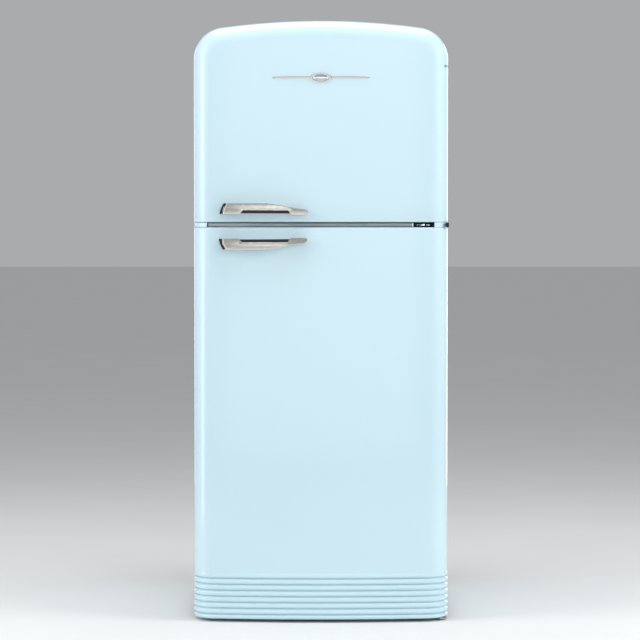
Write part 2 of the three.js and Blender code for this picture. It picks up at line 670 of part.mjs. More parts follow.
function addMullion() {
  const { left, right, low, high, front } = STRIP;
  piece("cabinet", "mullion_strip", box(left, right, front, CABINET_FRONT - FIT, low, high), look.strip);
  const end = common(betweenDoors(1.5, low, high), box(-HALF, left - 2, -400, 0, low - 1, high + 1));
  piece("cabinet", "mullion_end", end, look.enamel);
  const screen = box(right + 3, 350, front - 2, CABINET_FRONT - FIT, low - 0.3, high + 0.3);
  piece("cabinet", "control_display", screen, look.display);
}

// ---------------------------------------------------------------- shelves, drawers and lights
const SHELF = { front: -136, back: 281, trim: 10 };

// A sheet of glass in a moulded front trim.
function glassShelf(half, z, back) {
  const pane = box(-half, half, SHELF.front, back, z, z + SHELF_THICK);
  const trim = box(-half, half, SHELF.front - 4, SHELF.front + SHELF.trim, z - 2, z + SHELF_THICK + 6);
  return join(pane, cut(trim, box(-half - 1, half + 1, SHELF.front, 0, z + SHELF_THICK, z + 20)));
}

function bottleRack(z) {
  const wire = 2.5;
  const half = FRIDGE.half - 3;
  const parts = [];
  for (const y of [SHELF.front + 4, 70, SHELF.back - 4]) {
    parts.push(rod("x", wire, -half, half, y, z + wire, 6));
  }
  const pairs = 6;
  for (let i = 0; i < pairs; i++) {
    const middle = -half + ((i + 0.5) * 2 * half) / pairs;
    for (const side of [-1, 1]) {
      parts.push(rod("y", wire, SHELF.front + 4, SHELF.back - 4, middle + side * 24, z + wire + 2, 6));
    }
  }
  return join(...parts);
}

const FRESH = { half: 300, front: -134, back: 276, low: 354, high: 488, runner: 470 };
const CRISPER = { half: 304, front: -134, back: 112, low: 152, high: 334, runner: 300 };

// An open drawer with a pull, hung by its side runners on the liner's rails.
function drawer(size) {
  const { half, front, back, low, high, runner } = size;
  const body = tray(-half, half, front, back, low, high, 3);
  const lip = box(-half, half, front - 2, front + 2, low, high + 3);
  const pull = box(-90, 90, front - 8, front + 2, high - 22, high - 14);
  const wide = FRIDGE.half - 2;
  const runners = [-1, 1].map((side) => {
    const [x0, x1] = side < 0 ? [-wide, -half + 1] : [half - 1, wide];
    return box(x0, x1, -100, back - 4, runner, runner + 4);
  });
  return join(body, lip, pull, ...runners);
}

const ICE = { x: -195, z: 1722, front: -110, back: 170, radius: 8 };

function addInterior() {
  for (const [name, z] of Object.entries(FRIDGE_SHELVES)) {
    piece("interior", name, glassShelf(FRIDGE.half - 2, z, SHELF.back), look.glass);
  }
  const cover = box(-FRIDGE.half + 2, FRIDGE.half - 2, SHELF.front + 4, FRIDGE.humpY - 1, COVER_Z, COVER_Z + 4);
  piece("interior", "crisper_cover", cover, look.glass);
  piece("interior", "bottle_rack", bottleRack(BOTTLE_RACK_Z), look.chrome);
  piece("interior", "crisper_drawer", drawer(CRISPER), look.clearPlastic);
  piece("interior", "fresh_drawer", drawer(FRESH), look.clearPlastic);
  piece("interior", "freezer_shelf", glassShelf(FREEZER.half - 2, FREEZER_SHELF_Z, COVER_PLATE.front - 2), look.glass);
  piece("interior", "ceiling_light", box(-130, 130, -70, -24, FRIDGE.high - 7, FRIDGE.high - FIT), look.lamp);
  addIceMaker();
}

// A twist tray: it turns about a line along Y in a frame that hangs from the freezer's ceiling.
function addIceMaker() {
  const { x, z, front, back, radius } = ICE;
  const roof = box(x - 70, x + 70, front, back, FREEZER.high - 5, FREEZER.high - FIT);
  const ends = [front, back - 4].map((y) => box(x - 22, x + 22, y, y + 4, z - 20, FREEZER.high - 4));
  const bore = rod("y", radius + FIT, front - 5, back + 5, x, z);
  piece("interior", "ice_maker_frame", cut(join(roof, ...ends), bore), look.liner);

  const shell = tray(x - 48, x + 48, front + 8, back - 8, z - 22, z + 12, 2);
  const walls = [];
  for (let i = 1; i < 4; i++) {
    const y = front + 8 + (i * (back - front - 16)) / 4;
    walls.push(box(x - 47, x + 47, y - 1.5, y + 1.5, z - 21, z + 8));
  }
  walls.push(box(x - 1.5, x + 1.5, front + 9, back - 9, z - 21, z + 8));
  const stub = rod("y", radius, back - 10, back + 2, x, z);
  const stem = rod("y", radius, front - 6, front + 10, x, z);
  const knob = rod("y", 19, front - 24, front - 5, x, z, 20);
  const grip = box(x - 4, x + 4, front - 30, front - 22, z - 18, z + 18);
  piece("interior", "ice_tray", join(shell, ...walls, stub, stem, knob, grip), look.greyPlastic);
}

// ---------------------------------------------------------------- cooling
const COVER_PLATE = { front: 192, back: 195 };
const FAN = { z: 1690, r: 52, front: 203, back: 222, hub: 20 };

// Points joined by straight stretches, for a tube that turns back and forth.
class Bends extends THREE.Curve {
  constructor(points) {
    super();
    this.points = points;
  }
  getPoint(t, target = new THREE.Vector3()) {
    const last = this.points.length - 1;
    const at = Math.min(Math.round(t * last), last);
    return target.copy(this.points[at]);
  }
  getPointAt(t, target) {
    return this.getPoint(t, target);
  }
  getTangentAt(t, target = new THREE.Vector3()) {
    const last = this.points.length - 1;
    const at = Math.min(Math.round(t * last), last);
    const before = this.points[Math.max(at - 1, 0)];
    const after = this.points[Math.min(at + 1, last)];
    return target.copy(after).sub(before).normalize();
  }
}

function serpentine(half, low, high, runs, y, radius, sides) {
  const pitch = (high - low) / (runs - 1);
  const turn = pitch / 2;
  const points = [];
  for (let i = 0; i < runs; i++) {
    const side = i % 2 ? -1 : 1;
    const z = low + i * pitch;
    points.push(new THREE.Vector3(-side * half, y, z));
    points.push(new THREE.Vector3(side * half, y, z));
    if (i + 1 < runs) {
      for (const angle of [45, 90, 135]) {
        const a = THREE.MathUtils.degToRad(angle);
        const x = side * (half + turn * Math.sin(a));
        points.push(new THREE.Vector3(x, y, z + turn * (1 - Math.cos(a))));
      }
    }
  }
  const section = new THREE.Shape();
  section.absarc(0, 0, radius, 0, Math.PI * 2);
  const settings = { steps: points.length - 1, curveSegments: sides, extrudePath: new Bends(points) };
  return new THREE.ExtrudeGeometry(section, settings);
}

function addCooling() {
  const { front, back } = COVER_PLATE;
  const vents = [];
  for (let i = 0; i < 5; i++) {
    const x = -240 + i * 120;
    vents.push(box(x - 45, x + 45, front - 5, back + 5, 1320, 1332));
  }
  vents.push(rod("y", FAN.r + 4, front - 5, back + 5, 0, FAN.z, 24));
  const half = FREEZER.half - 2;
  const plate = cut(box(-half, half, front, back, FREEZER.low + 1, FREEZER.high - 1), ...vents);
  const bars = [-1, 0, 1].map((i) => box(-FAN.r - 6, FAN.r + 6, front, back, FAN.z + i * 26 - 2, FAN.z + i * 26 + 2));
  const boss = rod("y", 12, front, FAN.front - 1, 0, FAN.z, 12);
  const spindle = rod("y", 3, front + 1, FAN.back - 4, 0, FAN.z, 10);
  piece("cooling", "evaporator_cover", join(plate, ...bars, boss, spindle), look.liner);

  const hub = rod("y", FAN.hub, FAN.front, FAN.back, 0, 0, 16);
  const blades = [];
  for (let i = 0; i < 5; i++) {
    const blade = new THREE.BoxGeometry(FAN.r - FAN.hub + 4, 2, 26);
    blade.rotateX(THREE.MathUtils.degToRad(32)).translate((FAN.r + FAN.hub) / 2 - 3, (FAN.front + FAN.back) / 2, 0);
    blades.push(blade.rotateY((i * 2 * Math.PI) / 5));
  }
  const bore = rod("y", 3 + FIT, FAN.front - 1, FAN.back - 3, 0, 0, 10);
  const rotor = cut(join(hub, ...blades), bore).translate(0, 0, FAN.z);
  piece("cooling", "evaporator_fan", rotor, look.blackRubber);

  const fins = [];
  for (let i = 0; i < 14; i++) {
    const x = -247 + i * 38;
    fins.push(box(x - 1.5, x + 1.5, 212, 272, 1340, 1600));
  }
  for (const z of [1370, 1420, 1470, 1520, 1570]) {
    fins.push(rod("x", 5, -265, 265, 242, z, 8));
  }
  piece("cooling", "evaporator", join(...fins), look.steel);

  const duct = box(-75, 75, 284, FRIDGE.back - FIT, 520, 1185);
  const outlets = [];
  for (const z of [580, 700, 760, 870, 930, 1060, 1120]) {
    outlets.push(box(-45, 45, 283, 290, z, z + 8));
  }
  piece("cooling", "air_duct", cut(duct, ...outlets), look.liner);

  addMachineBay();
  const coil = serpentine(270, 420, 1600, 14, 377.5, 2.6, 2);
  const straps = [-215, 215].map((x) => box(x - 8, x + 8, CABINET_BACK + 1.8, REAR, 400, 1620));
  piece("cooling", "condenser", join(coil, ...straps), look.blackEnamel);
}

const COMPRESSOR = { x: 150, y: 262, r: 78 };

function addMachineBay() {
  const { x, y, r } = COMPRESSOR;
  const dome = [
    [0, 12],
    [r - 14, 12],
    [r - 2, 26],
    [r, 60],
    [r, 72],
    [r + 5, 74],
    [r + 5, 80],
    [r, 82],
    [r - 2, 120],
    [r - 14, 146],
    [r - 40, 162],
    [0, 168],
  ];
  const floor = TRAY.high + FIT;
  const can = turned(dome, x, y, floor, 20);
  const feet = box(x - 95, x + 95, y - 62, y + 62, floor + 8, floor + 12);
  const grommets = [];
  for (const side of [-1, 1]) {
    for (const end of [-1, 1]) {
      grommets.push(rod("z", 11, floor, floor + 9, x + side * 80, y + end * 48, 10));
    }
  }
  const stub = rod("x", 5, x - r - 40, x - r + 20, y, floor + 110, 8);
  piece("cooling", "compressor", join(can, feet, ...grommets, stub), look.blackEnamel);

  const louvres = [];
  for (let i = 0; i < 7; i++) {
    louvres.push(box(-200, 200, CABINET_BACK - 5, CABINET_BACK + 9, 90 + i * 24, 98 + i * 24));
  }
  const low = TRAY.high + 3;
  const high = MACHINE.high - 8;
  const plate = box(-HALF + 4, HALF - 4, CABINET_BACK + FIT, CABINET_BACK + 2, low, high);
  const cordHole = rod("y", 9, CABINET_BACK - 5, CABINET_BACK + 9, -300, 70);
  piece("cooling", "machine_cover", cut(plate, ...louvres, cordHole), look.zinc);
  const gland = [
    [0, -6],
    [8.5, -6],
    [8.5, 3],
    [13, 3],
    [13, 7],
    [7, 12],
    [0, 12],
  ];
  const made = turned(gland, 0, 0, 0, 16).rotateX(-Math.PI / 2).translate(-300, CABINET_BACK, 70);
  piece("cooling", "cord_gland", made, look.blackRubber);
}

addCabinet();
addBase();
addHinges();
addMullion();
addInterior();
addCooling();
addFreezerDoor();
addFridgeDoor();
addDairyLid();
addBushes();

export default refrigerator;
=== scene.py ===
import json
import math

import bmesh
import bpy
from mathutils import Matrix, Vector

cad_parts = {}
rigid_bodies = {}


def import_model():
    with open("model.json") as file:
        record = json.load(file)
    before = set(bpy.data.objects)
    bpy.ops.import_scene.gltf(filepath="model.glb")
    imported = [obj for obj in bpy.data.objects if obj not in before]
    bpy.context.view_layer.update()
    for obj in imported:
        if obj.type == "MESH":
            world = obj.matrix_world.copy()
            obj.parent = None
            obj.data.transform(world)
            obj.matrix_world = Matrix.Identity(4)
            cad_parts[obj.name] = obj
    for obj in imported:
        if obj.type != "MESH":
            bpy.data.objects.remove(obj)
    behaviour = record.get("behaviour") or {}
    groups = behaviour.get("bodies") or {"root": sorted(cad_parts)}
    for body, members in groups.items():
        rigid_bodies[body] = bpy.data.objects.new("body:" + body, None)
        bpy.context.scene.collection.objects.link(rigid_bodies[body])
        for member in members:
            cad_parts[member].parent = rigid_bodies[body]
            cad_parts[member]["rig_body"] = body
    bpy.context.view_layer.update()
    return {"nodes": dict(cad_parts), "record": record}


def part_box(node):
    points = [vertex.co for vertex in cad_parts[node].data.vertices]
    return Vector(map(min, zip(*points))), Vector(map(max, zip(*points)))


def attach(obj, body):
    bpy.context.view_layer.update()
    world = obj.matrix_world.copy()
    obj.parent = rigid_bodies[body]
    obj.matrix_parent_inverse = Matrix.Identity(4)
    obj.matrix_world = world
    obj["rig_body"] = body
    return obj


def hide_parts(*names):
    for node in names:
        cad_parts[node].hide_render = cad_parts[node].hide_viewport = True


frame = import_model()

# ---------------------------------------------------------------- dimensions, in millimetres as in the CAD
MM = 0.001
HALF = 398
HEIGHT = 1875
HANDLE_PEAK = -384.5
DOOR_FRONT = -344.5
DOOR_BACK = -252
CABINET_FRONT = -240
CABINET_BACK = 370
BOW_RADIUS = 3000
EDGE_ROLL = 62
TOP_CORNER = 100
TOP_ARCH = 2450
SKIRT_LOW = 9.5
SKIRT_HIGH = 155.35
RIB_COUNT = 8
RIB_PITCH = 18.7
GAP_LOW = 1231
GAP_HIGH = 1248.5
SHEET = 1.2
TONGUE_POCKET = (1730.6, 1737.4)  # from and to, up the freezer door
HINGE_AXIS = (380, -282, 0)
FAN_Z = 1690
GLAND = (-300, 0, 70)
FOOT_X, FOOT_Y = 345, -205
ROLLER_X, ROLLER_Y, ROLLER_Z = 322, 318, 19
SHARP_SHEET = math.radians(42)  # edges of folded sheet above this angle stay crisp


def body_of_node(node):
    return frame["nodes"][node]["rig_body"]


def slot_of_node(node):
    for row in frame["record"]["subparts"]:
        if row["node"] == node:
            return row["material_slot"]
    raise KeyError(node)


# ---------------------------------------------------------------- materials
EVEN = (1, 1, 1)
CELLS = None  # in the place of a noise's detail: a pattern of cells instead
LOOK = {}  # materials by name, which for most is also the slot's name


class Paint:
    """A principled material whose colour, roughness and bump vary by patterns in object space."""

    def __init__(self, name, color, roughness, metallic=0.0, **inputs):
        LOOK[name] = bpy.data.materials.new(name)
        LOOK[name].use_nodes = True
        self.tree = LOOK[name].node_tree
        self.shader = self.tree.nodes["Principled BSDF"]
        self.color = color
        self.roughness = roughness
        self.put("Base Color", (*color, 1))
        self.put("Roughness", roughness)
        self.put("Metallic", metallic)
        for key, value in inputs.items():
            self.put(key.replace("_", " "), value)
        self.where = self.add("ShaderNodeTexCoord").outputs["Object"]
        self.last_bump = None

    def put(self, socket, value):
        self.shader.inputs[socket].default_value = value

    def add(self, kind, **settings):
        node = self.tree.nodes.new(kind)
        for key, value in settings.items():
            setattr(node, key, value)
        return node

    def link(self, a, b):
        self.tree.links.new(a, b)

    def pattern(self, scale, detail, stretch):
        mapping = self.add("ShaderNodeMapping")
        mapping.inputs["Scale"].default_value = stretch
        self.link(self.where, mapping.inputs["Vector"])
        node = self.add("ShaderNodeTexVoronoi" if detail is CELLS else "ShaderNodeTexNoise")
        node.inputs["Scale"].default_value = scale
        self.link(mapping.outputs["Vector"], node.inputs["Vector"])
        if detail is CELLS:
            return node.outputs["Color"]
        node.inputs["Detail"].default_value = detail
        return node.outputs["Fac"]

    def between(self, fac, low, high):
        node = self.add("ShaderNodeMapRange")
        node.interpolation_type = "SMOOTHSTEP"
        node.inputs["From Min"].default_value = 0.15
        node.inputs["From Max"].default_value = 0.85
        node.inputs["To Min"].default_value = low
        node.inputs["To Max"].default_value = high
        self.link(fac, node.inputs["Value"])
        return node.outputs["Result"]

    def tint(self, amount, scale, detail=4.0, stretch=EVEN):
        ramp = self.add("ShaderNodeValToRGB")
        ramp.color_ramp.interpolation = "EASE"
        ramp.color_ramp.elements[0].position = 0.2
        ramp.color_ramp.elements[1].position = 0.8
        dark = [max(0.0, c * (1 - amount)) for c in self.color]
        light = [min(1.0, c * (1 + amount)) for c in self.color]
        ramp.color_ramp.elements[0].color = (*dark, 1)
        ramp.color_ramp.elements[1].color = (*light, 1)
        self.link(self.pattern(scale, detail, stretch), ramp.inputs["Fac"])
        self.link(ramp.outputs["Color"], self.shader.inputs["Base Color"])
        return self

    def dull(self, amount, scale, detail=4.0, stretch=EVEN):
        fac = self.pattern(scale, detail, stretch)
        low = max(0.01, self.roughness - amount)
        self.link(self.between(fac, low, self.roughness + amount), self.shader.inputs["Roughness"])
        return self

    def bump(self, strength, distance, scale, detail=4.0, stretch=EVEN):
        node = self.add("ShaderNodeBump")
        node.inputs["Strength"].default_value = strength
        node.inputs["Distance"].default_value = distance
        self.link(self.pattern(scale, detail, stretch), node.inputs["Height"])
        if self.last_bump:
            self.link(self.last_bump, node.inputs["Normal"])
        self.last_bump = node.outputs["Normal"]
        self.link(self.last_bump, self.shader.inputs["Normal"])
        return self


paint = Paint("pastel_enamel", (0.60, 0.80, 0.885), 0.3, Coat_Weight=1.0, Coat_Roughness=0.09, Coat_IOR=1.5)
paint.tint(0.01, 1.3, 1.0).dull(0.03, 2.5, 1.5).bump(0.05, 0.0004, 4.0, 0.0).bump(0.04, 0.0001, 380, 1.0)
paint = Paint("satin_nickel", (0.80, 0.77, 0.72), 0.22, 1.0)
paint.tint(0.09, 85, 5.0).dull(0.07, 220, 6.0, stretch=(0.15, 1, 1))
paint.bump(0.10, 0.00008, 900, 3.0, stretch=(0.06, 1, 1)).bump(0.08, 0.0002, 40, 2.0)
paint = Paint("bright_chrome", (0.83, 0.84, 0.85), 0.08, 1.0)
paint.tint(0.02, 90).dull(0.04, 150, 6.0).bump(0.03, 0.0001, 300)
# Black for the handle's dark inlay, and painted reflection on the band at the handle's left end, standing in
# for the dark surroundings that its polished curved end would mirror.
paint = Paint("handle_black_and_dark_reflection", (0.012, 0.012, 0.014), 0.38)
paint.tint(0.3, 500).dull(0.08, 180).bump(0.15, 0.0001, 1500, 2.0)
paint = Paint("zinc_steel", (0.55, 0.56, 0.57), 0.36, 1.0)
paint.tint(0.12, 120, 6.0).dull(0.1, 260).bump(0.12, 0.0001, 700, stretch=(1, 0.2, 1))
paint = Paint("galvanised", (0.50, 0.515, 0.525), 0.42, 0.9)
paint.tint(0.1, 120, CELLS).dull(0.1, 90).bump(0.1, 0.0001, 300)
paint = Paint("white_liner", (0.84, 0.86, 0.865), 0.3, Coat_Weight=0.15, Coat_Roughness=0.2)
paint.tint(0.012, 3, 1.5).dull(0.04, 8, 2.0).bump(0.08, 0.0001, 650, 1.0).bump(0.05, 0.0005, 9, 0.0)
paint = Paint("seal_grey", (0.60, 0.62, 0.635), 0.55)
paint.tint(0.05, 30).dull(0.08, 60).bump(0.15, 0.0001, 800)
paint = Paint("black_rubber", (0.018, 0.018, 0.019), 0.7)
paint.tint(0.3, 150).dull(0.1, 90).bump(0.25, 0.0002, 1100)
paint = Paint("grey_strip", (0.77, 0.76, 0.755), 0.46, 0.65)
paint.tint(0.05, 25, stretch=(0.2, 1, 1)).dull(0.08, 200, stretch=(0.1, 1, 1))
paint.bump(0.1, 0.0001, 1200, stretch=(0.05, 1, 1))
paint = Paint("display_black", (0.003, 0.0035, 0.005), 0.3, Specular_IOR_Level=0.25)
paint.tint(0.3, 40).dull(0.05, 120, 6.0).bump(0.03, 0.0002, 30, 1.0)
paint = Paint("display_mark", (0.75, 0.88, 0.95), 0.4, Emission_Color=(0.8, 0.92, 1.0, 1),
    Emission_Strength=1.6)
paint.tint(0.05, 400).dull(0.1, 500)
paint = Paint("lamp_white", (0.9, 0.92, 0.93), 0.35, Emission_Color=(0.95, 0.98, 1.0, 1),
    Emission_Strength=0.5)
paint.tint(0.02, 60).bump(0.2, 0.0002, 260, CELLS)
paint = Paint("shelf_glass", (0.86, 0.96, 0.93), 0.03, Transmission_Weight=0.92, IOR=1.5)
paint.dull(0.02, 40, 6.0).tint(0.02, 3)
paint = Paint("clear_plastic", (0.86, 0.91, 0.93), 0.12, Transmission_Weight=0.75, IOR=1.49)
paint.tint(0.03, 18).dull(0.06, 60, 6.0).bump(0.06, 0.0003, 25, 1.0)
paint = Paint("grey_plastic", (0.27, 0.30, 0.315), 0.45)
paint.tint(0.08, 45).dull(0.08, 120).bump(0.15, 0.0001, 900)
paint = Paint("black_enamel", (0.016, 0.016, 0.018), 0.32, Coat_Weight=0.4, Coat_Roughness=0.2)
paint.tint(0.25, 40).dull(0.1, 80).bump(0.15, 0.0002, 350, 2.0)
paint = Paint("fin_aluminium", (0.62, 0.63, 0.64), 0.35, 1.0)
paint.tint(0.08, 70).dull(0.1, 130).bump(0.1, 0.0001, 500)
paint = Paint("insulation_foam", (0.72, 0.60, 0.34), 0.85)
paint.tint(0.12, 35, 6.0).dull(0.1, 60).bump(0.4, 0.0006, 240, CELLS)
paint = Paint("studio_floor", (0.82, 0.82, 0.815), 0.9, Specular_IOR_Level=0.0)
paint.tint(0.012, 2.5).dull(0.05, 20)


# ---------------------------------------------------------------- making pieces
def smooth_object(name, bm, sharp=40):
    """A linked object from a bmesh in millimetres, shaded smooth across edges below the sharp angle."""
    bmesh.ops.remove_doubles(bm, verts=bm.verts, dist=1e-4)
    bmesh.ops.scale(bm, vec=(MM, MM, MM), verts=bm.verts)
    bmesh.ops.recalc_face_normals(bm, faces=bm.faces)
    mesh = bpy.data.meshes.new(name)
    bm.to_mesh(mesh)
    bm.free()
    mesh.shade_smooth()
    mesh.set_sharp_from_angle(angle=math.radians(sharp))
    made = bpy.data.objects.new(name, mesh)
    bpy.context.scene.collection.objects.link(made)
    return made


def install(piece, body, slot, *replaced, look=None):
    """Gives a piece its body and a look, that of its slot or another, and lets it stand for CAD nodes."""
    piece.data.materials.clear()
    piece.data.materials.append(LOOK[look or slot])
    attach(piece, body)
    if replaced:
        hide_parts(*replaced)
    return piece


def stand_for(piece, node):
    """Installs a piece in the place of one CAD node, with the look of that node's slot."""
    return install(piece, body_of_node(node), slot_of_node(node), node)


def heights_of(node):
    """The lowest and the highest point of a CAD node, in millimetres."""
    return [corner[2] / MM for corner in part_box(node)]


def solidify(piece, thickness=SHEET, offset=-1):
    """Gives a surface its thickness, with crisp edges where the sheet ends."""
    made = piece.modifiers.new("sheet", "SOLIDIFY")
    made.thickness = thickness * MM
    made.offset = offset
    apply_modifiers(piece)
    piece.data.set_sharp_from_angle(angle=SHARP_SHEET)


def bevel(piece, width, segments=3, angle=35):
    made = piece.modifiers.new("edges", "BEVEL")
    made.width = width * MM
    made.segments = segments
    made.limit_method = "ANGLE"
    made.angle_limit = math.radians(angle)
    made.harden_normals = True
    return made


def apply_modifiers(piece):
    """Bakes the modifiers into the mesh, so that later steps can work on the result."""
    graph = bpy.context.evaluated_depsgraph_get()
    mesh = bpy.data.meshes.new_from_object(piece.evaluated_get(graph))
    piece.modifiers.clear()
    piece.data = mesh
    return piece


def with_normals(points, closed=False):
    """Adds to each 2-D point the unit normal on the left of the way along the line."""
    count = len(points)
    made = []
    for i, (x, y) in enumerate(points):
        before = points[i - 1] if i or closed else points[i]
        after = points[(i + 1) % count] if i + 1 < count or closed else points[i]
        along = (Vector(after) - Vector(before)).normalized()
        made.append((x, y, -along.y, along.x))
    return made


def add_grid(bm, rows, closed=False):
    """Quads between rows of points, each as long as the last."""
    verts = [[bm.verts.new(point) for point in row] for row in rows]
    count = len(rows[0])
    for a, b in zip(verts, verts[1:]):
        for i in range(count if closed else count - 1):
            j = (i + 1) % count
            bm.faces.new((a[i], a[j], b[j], b[i]))
    return verts


def add_bar(bm, rows, closed=True):
    """A grid with a face on each of its two ends."""
    ends = add_grid(bm, rows, closed)
    bm.faces.new(ends[0])
    bm.faces.new(ends[-1][::-1])


def add_prism(bm, points, place, low, high):
    """A closed prism: place(u, v, w) puts outline point (u, v) at height w into space."""
    bottom = [bm.verts.new(place(u, v, low)) for u, v in points]
    top = [bm.verts.new(place(u, v, high)) for u, v in points]
    count = len(points)
    for i in range(count):
        j = (i + 1) % count
        bm.faces.new((bottom[i], bottom[j], top[j], top[i]))
    bm.faces.new(bottom[::-1])
    bm.faces.new(top)


def boolean(piece, solid, operation):
    """Cuts a closed bmesh out of a piece (DIFFERENCE), or leaves only what they share (INTERSECT)."""
    tool = smooth_object(piece.name + "_tool", solid)
    cut = piece.modifiers.new("cut", "BOOLEAN")
    cut.operation = operation
    cut.solver = "EXACT"
    cut.object = tool
    apply_modifiers(piece)
    bpy.data.objects.remove(tool)


def shared(name, first, *others):
    """The space that closed prisms share, as one object."""
    piece = smooth_object(name, first)
    for solid in others:
        boolean(piece, solid, "INTERSECT")
    return piece


def fillet(radius, steps=6):
    """Inset and height along a quarter round, from the flat end (inset = radius) to the wall (inset 0)."""
    made = []
    for i in range(steps + 1):
        angle = i / steps * math.pi / 2
        made.append((radius * (1 - math.sin(angle)), radius * (1 - math.cos(angle))))
    return made


# ---------------------------------------------------------------- the painted panels
def ease(t):
    t = min(1.0, max(0.0, t))
    return t * t * (3 - 2 * t)


def bow(x):
    return DOOR_FRONT + x * x / (2 * BOW_RADIUS)


def top_edge(corner_steps=26, arch_steps=60):
    """Points and normals along the arched top, from left to right: x, z, normal x, normal z."""
    arch_z = HEIGHT - TOP_ARCH
    corner_x = HALF - TOP_CORNER
    tilt = math.asin(corner_x / (TOP_ARCH - TOP_CORNER))
    corner_z = arch_z + (TOP_ARCH - TOP_CORNER) * math.cos(tilt)
    quarter = math.pi / 2 - tilt
    made = []

    def add(cx, cz, radius, angle):
        made.append((cx + radius * math.cos(angle), cz + radius * math.sin(angle), math.cos(angle),
            math.sin(angle)))

    for i in range(corner_steps):
        add(-corner_x, corner_z, TOP_CORNER, math.pi - i / corner_steps * quarter)
    for i in range(arch_steps + 1):
        add(0, arch_z, TOP_ARCH, math.pi / 2 + tilt - i / arch_steps * 2 * tilt)
    for i in range(1, corner_steps + 1):
        add(corner_x, corner_z, TOP_CORNER, math.pi / 2 - tilt - i / corner_steps * quarter)
    return made


def door_plan(roll_steps=16, bow_steps=60):
    """Plan of a door's skin, left to right, from the return at one edge to that at the other."""
    left = [(-HALF + 9, DOOR_BACK), (-HALF + 2, DOOR_BACK), (-HALF + 0.6, DOOR_BACK - 0.6),
        (-HALF, DOOR_BACK - 2)]
    for i in range(roll_steps + 1):
        angle = i / roll_steps * math.pi / 2
        x = -HALF + EDGE_ROLL * (1 - math.cos(angle))
        left.append((x, bow(x) + EDGE_ROLL * (1 - math.sin(angle))))
    span = HALF - EDGE_ROLL
    middle = [(-span + 2 * span * i / bow_steps) for i in range(1, bow_steps)]
    return left + [(x, bow(x)) for x in middle] + [(-x, y) for x, y in reversed(left)]


def bowed_rows(profile):
    """The plan's line at each [inset, z] of a profile."""
    plan = with_normals(door_plan())
    return [[(x + nx * inset, y + ny * inset, z) for x, y, nx, ny in plan] for inset, z in profile]


def make_end_plate(name, door, low, high, inset=4.2):
    """The flat end of a door, inside the folded edge of its skin, with the hole for the hinge bush."""
    plan = with_normals(door_plan())
    outline = [(x + nx * inset, y + ny * inset) for x, y, nx, ny in plan if y < DOOR_BACK - 4]
    outline = [(-HALF + inset, DOOR_BACK - 1.4)] + outline + [(HALF - inset, DOOR_BACK - 1.4)]
    plate = bmesh.new()
    hole = bmesh.new()
    add_prism(plate, outline, flat, low, high)
    turn(hole, [(0, low - 5), (9.2, low - 5), (9.2, high + 5), (0, high + 5)], HINGE_AXIS)
    piece = smooth_object(name, plate)
    boolean(piece, hole, "DIFFERENCE")
    install(piece, door, "pastel_enamel")


def make_fridge_door_skin():
    top = [(inset, GAP_LOW - drop) for inset, drop in fillet(5)]
    profile = [(0, SKIRT_HIGH), (0, SKIRT_HIGH + 12)] + top[::-1] + [(4.6, GAP_LOW)]
    bm = bmesh.new()
    add_grid(bm, bowed_rows(profile))
    skin = smooth_object("fridge_door_panel", bm)
    solidify(skin)
    stand_for(skin, "fridge_door_skin")
    make_end_plate("fridge_door_top_plate", "fridge_door", GAP_LOW - 1.3, GAP_LOW - 0.3)


def rib_profile():
    """Inset and height up the ribbed foot: rounded ribs and soft grooves; the lowest rib is shorter."""
    proud, deep, steps = 1.8, 5.6, 16
    profile = [(9, SKIRT_LOW), (7, SKIRT_LOW), (4, SKIRT_LOW + 0.4)]
    for rib in range(RIB_COUNT):
        low = SKIRT_HIGH - (RIB_COUNT - rib) * RIB_PITCH if rib else SKIRT_LOW
        high = SKIRT_HIGH - (RIB_COUNT - rib - 1) * RIB_PITCH
        for i in range(1 if rib else 2, steps + 1):
            across = abs(2 * i / steps - 1)
            inset = deep * across**2.8 - proud * (1 - across**2.8)
            if rib == RIB_COUNT - 1 and i > steps / 2:
                inset = -proud * (1 - ease(across))
            profile.append((inset, low + i / steps * (high - low)))
    return profile


def make_fridge_door_base():
    bm = bmesh.new()
    add_grid(bm, bowed_rows(rib_profile()))
    base = smooth_object("fridge_door_ribbed_foot", bm, 80)
    solidify(base, 2.5)
    stand_for(base, "fridge_door_base")
    make_end_plate("fridge_door_foot_plate", "fridge_door", SKIRT_LOW + 0.6, SKIRT_LOW + 1.8, 9)


def cut_tongue_pocket(piece):
    """Cuts the pocket in the freezer door's back and right edge, where the top hinge's tongue turns."""
    pocket = bmesh.new()
    loft(pocket, (365, 403, -296, -232), 0.8, [(0, TONGUE_POCKET[0]), (0, TONGUE_POCKET[1])], flat)
    boolean(piece, pocket, "DIFFERENCE")
    piece.data.set_sharp_from_angle(angle=SHARP_SHEET)


